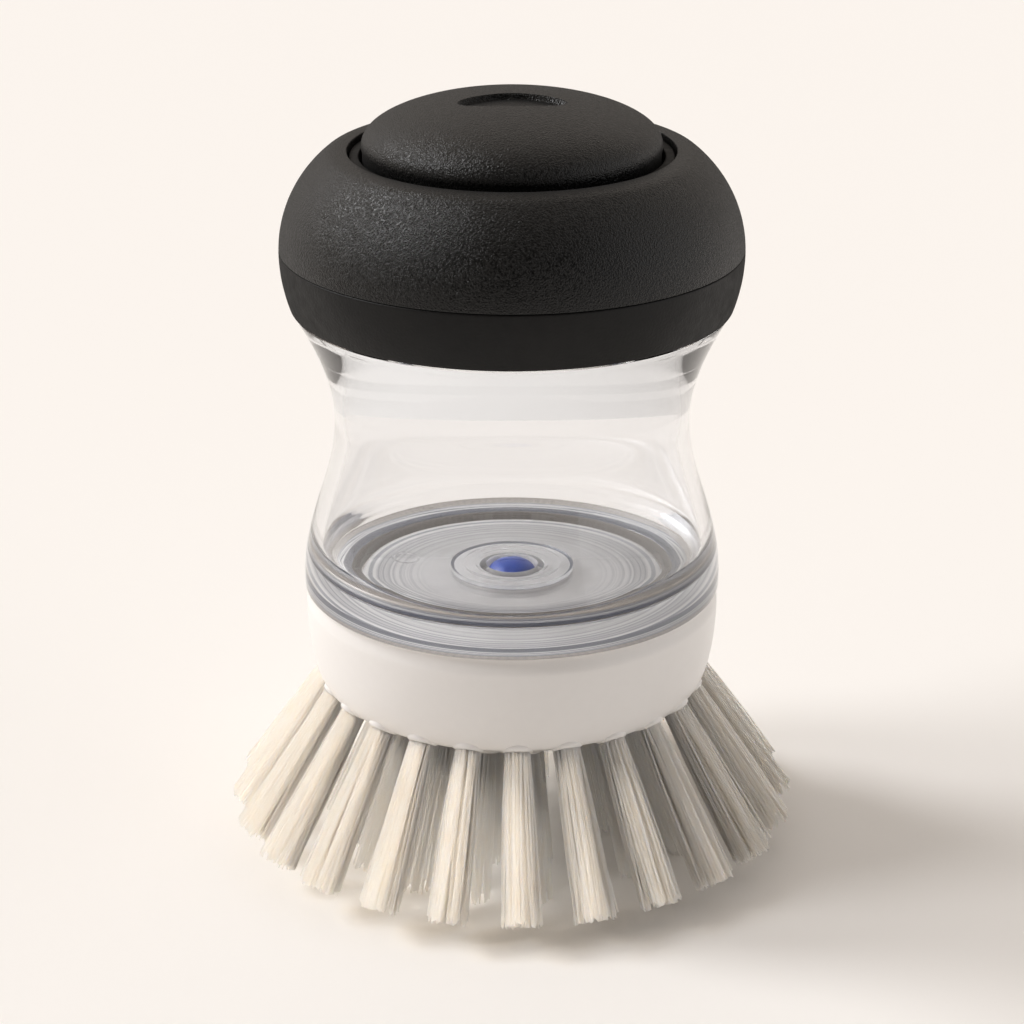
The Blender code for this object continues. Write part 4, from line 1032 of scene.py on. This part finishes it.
def frosted_material(name, colour, clearness, with_marks_and_painted_rings=False, ticks=0):
    """The clear plastic's textured underside, with turning marks and painted bright and dark rings near the
    floor's edge, or with so many fine radial lines.
    """
    material, tree, shader = new_material(name, colour, 0.45)
    shader.inputs["Transmission Weight"].default_value = clearness
    shader.inputs["IOR"].default_value = PLASTIC_IOR
    cloudy = tuple(part * CLOUDY_SHARE for part in colour)
    shade = radial_lines(tree, ticks) if ticks else mapped(tree, noise(tree, 180), 0, 1)
    surface = blended(tree, shade, cloudy, colour)
    if with_marks_and_painted_rings:
        radius = from_axis(tree)
        marks_and_rings = marks_and_painted_rings(tree, radius, MARKS_AND_RINGS_SCALE)
        lines = blended(tree, marks_and_rings, MARK_DARK, colour)
        edges = blended(tree, marks_and_rings, PAINTED_RING_SHADE, PAINTED_RING_GLINT)
        surface = mixed(tree, mapped(tree, radius, 0, 1, *MARKS_FADE), surface, lines)
        # Painted highlight and painted shade: bright and dark rings near the floor's edge, in place of
        # refraction lines.
        surface = mixed(tree, mapped(tree, radius, 0, 1, *PAINTED_RINGS_FADE), surface, edges)
    tree.links.new(surface, shader.inputs["Base Color"])
    bump(tree, shader, noise(tree, 900, 1.0), 0.1, FINE_DEPTH)
    lets_light_by(tree, shader, FROSTED_SHADOW)
    return material


def white_material():
    """Satin white moulded plastic."""
    material, tree, shader = new_material("white_plastic", (0.83, 0.82, 0.80), 0.3)
    vary_colour(tree, shader, 700, WHITE_COLOURS)
    vary_roughness(tree, shader, 800, 0.29, 0.34)
    bump(tree, shader, noise(tree, 1500, 2.0), 0.05, FINE_DEPTH)
    return material


def blue_material():
    """Satin blue silicone."""
    material, tree, shader = new_material("blue_silicone", (0.025, 0.06, 0.32), 0.38)
    vary_colour(tree, shader, 900, BLUE_COLOURS)
    bump(tree, shader, noise(tree, 2500, 2.0), 0.2, SOFT_DEPTH)
    return material


def seal_material():
    """Slate silicone of the seals and the bellows."""
    material, tree, shader = new_material("seal_silicone", (0.10, 0.105, 0.125), 0.5)
    vary_colour(tree, shader, 300, SEAL_COLOURS)
    bump(tree, shader, noise(tree, 1800, 2.0), 0.25, GRAIN_DEPTH)
    return material


def steel_material():
    """Drawn spring wire."""
    material, tree, shader = new_material("spring_steel", (0.60, 0.60, 0.61), 0.28)
    shader.inputs["Metallic"].default_value = 1
    vary_roughness(tree, shader, 1500, 0.22, 0.38, 2.0)
    bump(tree, shader, noise(tree, 4000, 2.0), 0.2, FINE_DEPTH)
    return material


def nylon_material():
    """Off-white translucent nylon filament, a little uneven from strand to strand."""
    material, tree, shader = new_material("nylon_bristle", (0.96, 0.945, 0.91), 0.35)
    streaks = noise(tree, 1400, 2.0, (1, 1, 0.06))
    colour = blended(tree, mapped(tree, streaks, 0, 1), *NYLON_COLOURS)
    tree.links.new(colour, shader.inputs["Base Color"])
    vary_roughness(tree, shader, 900, 0.28, 0.42)
    shader.inputs["Transmission Weight"].default_value = 0.4
    shader.inputs["IOR"].default_value = NYLON_IOR
    shader.inputs["Subsurface Weight"].default_value = 0.7
    shader.inputs["Subsurface Radius"].default_value = (1.0, 0.85, 0.65)
    shader.inputs["Subsurface Scale"].default_value = NYLON_GLOW_DEPTH
    lets_light_by(tree, shader, NYLON_SHADOW)
    return material


def dress(piece, material, body, slot, *nodes):
    """Give a piece its material and body, and hide the nodes it stands for."""
    piece.data.materials.clear()
    piece.data.materials.append(material)
    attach(piece, body)
    if nodes:
        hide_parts(*nodes)


def keep(node, material):
    """Give a kept CAD node its material."""
    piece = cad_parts[node]
    piece.data.materials.clear()
    piece.data.materials.append(material)
    smooth(piece.data)


def dress_tufts(nylon):
    """All tufts, as fine strands."""
    for i in range(OUTER_TUFTS):
        name = f"{i + 1:02d}"
        azimuth = OUTER_RING_TURN + math.tau * i / OUTER_TUFTS
        shape = (OUTER_STRANDS, OUTER_SPREAD, OUTER_LENGTH, OUTER_SEED + i)
        tuft = make_tuft("bristles_outer_" + name, OUTER_RING_RADIUS, azimuth, *shape)
        dress(tuft, nylon, "brush_head", "nylon_bristle", "tuft_outer_" + name)
    for i in range(MIDDLE_TUFTS):
        name = f"{i + 1:02d}"
        azimuth = MIDDLE_RING_TURN + math.tau * i / MIDDLE_TUFTS
        shape = (MIDDLE_STRANDS, MIDDLE_SPREAD, 0, MIDDLE_SEED + i)
        tuft = make_tuft("bristles_middle_" + name, MIDDLE_RING_RADIUS, azimuth, *shape)
        dress(tuft, nylon, "brush_head", "nylon_bristle", "tuft_middle_" + name)
        tuft.visible_shadow = False
    for i in range(INNER_ARCS):
        name = f"{i + 1:02d}"
        seed = INNER_SEED + INNER_SEED_STEP * i
        strands = make_inner_arc("bristles_inner_" + name, math.tau * i / INNER_ARCS, seed)
        dress(strands, nylon, "brush_head", "nylon_bristle", "tufts_inner_" + name)
        strands.visible_shadow = False


def dress_brush():
    """Every piece with its material."""
    grip = grip_material()
    cap = cap_material()
    clear = clear_material()
    white = white_material()
    seal = seal_material()
    dress(make_block(), white, "brush_head", "white_plastic", "brush_block")
    dress_tufts(nylon_material())
    low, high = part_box("head_seal")
    seal_ring = ring("head_gasket", MOUTH_RADIUS, high.x, low.z, high.z)
    dress(seal_ring, seal, "brush_head", "seal_silicone", "head_seal")
    # The frosted underside carries turning marks, and painted bright and dark rings near the floor's edge.
    frosted = frosted_material("clear_plastic_frosted", FROSTED_COLOUR, 0.55, with_marks_and_painted_rings=True)
    # The seat material: the seal's dark look, and painted shade in the gaps.
    seat_and_shade = frosted_material("clear_plastic_seat_and_painted_shade", SEAT_AND_PAINTED_SHADE_COLOUR, 0.3)
    # The rim and spigot material: grey-brown painted shade with fine radial lines.
    rim_shade = frosted_material("clear_plastic_rim_painted_shade", RIM_PAINTED_SHADE_COLOUR, 0.35, ticks=RIM_TICKS)
    tank = make_reservoir()
    dress(tank, clear, "reservoir", "clear_plastic", "reservoir")
    frost_underside(tank, SKIRT_Z + FINE_EDGE, frosted, seat_and_shade, rim_shade)
    collar = turned("clear_collar", softened(collar_outline(), GROOVE_DEPTH))
    dress(collar, clear, "reservoir", "clear_plastic", "valve_collar")
    frost_underside(collar, COLLAR_TOP_Z - GROOVE_DEPTH, frosted, seat_and_shade)
    dress(make_valve(), blue_material(), "reservoir", "blue_silicone", "outlet_valve")
    dress(make_clip(), white, "reservoir", "white_plastic", "valve_clip")
    low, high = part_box("cap_seal")
    inner = NECK_BORE_RADIUS + GASKET_INNER_GAP
    outer = CORE_BORE_RADIUS - GASKET_OUTER_GAP
    gasket = ring("neck_gasket", inner, outer, low.z, high.z)
    dress(gasket, seal, "cap_lift", "seal_silicone", "cap_seal")
    dress(make_core(), cap, "cap", "cap_plastic", "cap_core")
    dress(make_band(), cap, "cap", "cap_plastic", "cap_band")
    dress(make_grip(), grip, "cap", "soft_grip", "cap_grip")
    dress(make_button(), grip, "button", "soft_grip", "button")
    keep("button_insert", white)
    keep("bellows_ring", white)
    keep("pump_bellows", seal)
    keep("return_spring", steel_material())


def make_floor():
    """The plain pale floor."""
    mesh = bpy.data.meshes.new("floor")
    half = FLOOR_SIZE / 2
    corners = [(-half, -half, 0), (half, -half, 0), (half, half, 0), (-half, half, 0)]
    mesh.from_pydata(corners, [], [(0, 1, 2, 3)])
    floor = new_object("floor", mesh)
    material, tree, shader = new_material("floor_cream", FLOOR_COLOUR, 0.9, 0.1)
    bump(tree, shader, noise(tree, 900), 0.03, SOFT_DEPTH)
    mesh.materials.append(material)


def make_world():
    """Soft warm light from all round, brightest from the back left; through the clear tank it looks pale."""
    world = bpy.data.worlds.new("studio")
    world.use_nodes = True
    tree = world.node_tree
    background = tree.nodes["Background"]
    coordinates = tree.nodes.new("ShaderNodeTexCoord")
    towards = tree.nodes.new("ShaderNodeVectorMath")
    towards.operation = "DOT_PRODUCT"
    towards.inputs[1].default_value = WORLD_TOWARDS
    tree.links.new(coordinates.outputs["Generated"], towards.inputs[0])
    share = mapped(tree, towards.outputs["Value"], 0, 1, *WORLD_FADE)
    light = blended(tree, share, WORLD_DARK, WORLD_BRIGHT)
    across = tree.nodes.new("ShaderNodeSeparateXYZ")
    tree.links.new(coordinates.outputs["Generated"], across.inputs["Vector"])
    share = mapped(tree, across.outputs["X"], 0, 1, *WORLD_SEEN_FADE)
    through = blended(tree, share, WORLD_SEEN, WORLD_SEEN_RIGHT)
    path = tree.nodes.new("ShaderNodeLightPath")
    seen = mixed(tree, path.outputs["Is Transmission Ray"], light, through)
    tree.links.new(seen, background.inputs["Color"])
    bpy.context.scene.world = world


def add_lamp(name, azimuth, elevation, strength, angle):
    """A soft sun lamp, not seen through clear pieces; azimuth, elevation and breadth are in degrees."""
    lamp = bpy.data.lights.new(name, "SUN")
    lamp.energy = strength
    lamp.angle = math.radians(angle)
    lamp.color = LAMP_COLOUR
    piece = bpy.data.objects.new(name, lamp)
    level = math.cos(math.radians(elevation))
    side = level * math.cos(math.radians(azimuth))
    back = level * math.sin(math.radians(azimuth))
    towards = Vector((side, back, math.sin(math.radians(elevation))))
    piece.rotation_euler = towards.to_track_quat("Z", "Y").to_euler()
    piece.visible_transmission = False
    bpy.context.scene.collection.objects.link(piece)


def make_lamps():
    """Two soft lights from the upper left, the key a little behind, and a broad low one from the right."""
    add_lamp("key", *KEY)
    add_lamp("left_fill", *LEFT_FILL)
    add_lamp("right_fill", *RIGHT_FILL)


def make_camera():
    """The photograph's camera."""
    lens = bpy.data.cameras.new("camera")
    lens.lens = CAMERA_LENS
    lens.sensor_width = CAMERA_SENSOR
    lens.clip_start = CAMERA_NEAR
    camera = bpy.data.objects.new("camera", lens)
    camera.location = CAMERA_PLACE
    camera.rotation_euler = (CAMERA_TILT, 0, 0)
    bpy.context.scene.collection.objects.link(camera)
    bpy.context.scene.camera = camera


dress_brush()
make_floor()
make_world()
make_lamps()
make_camera()
bpy.context.scene.view_settings.view_transform = "Standard"
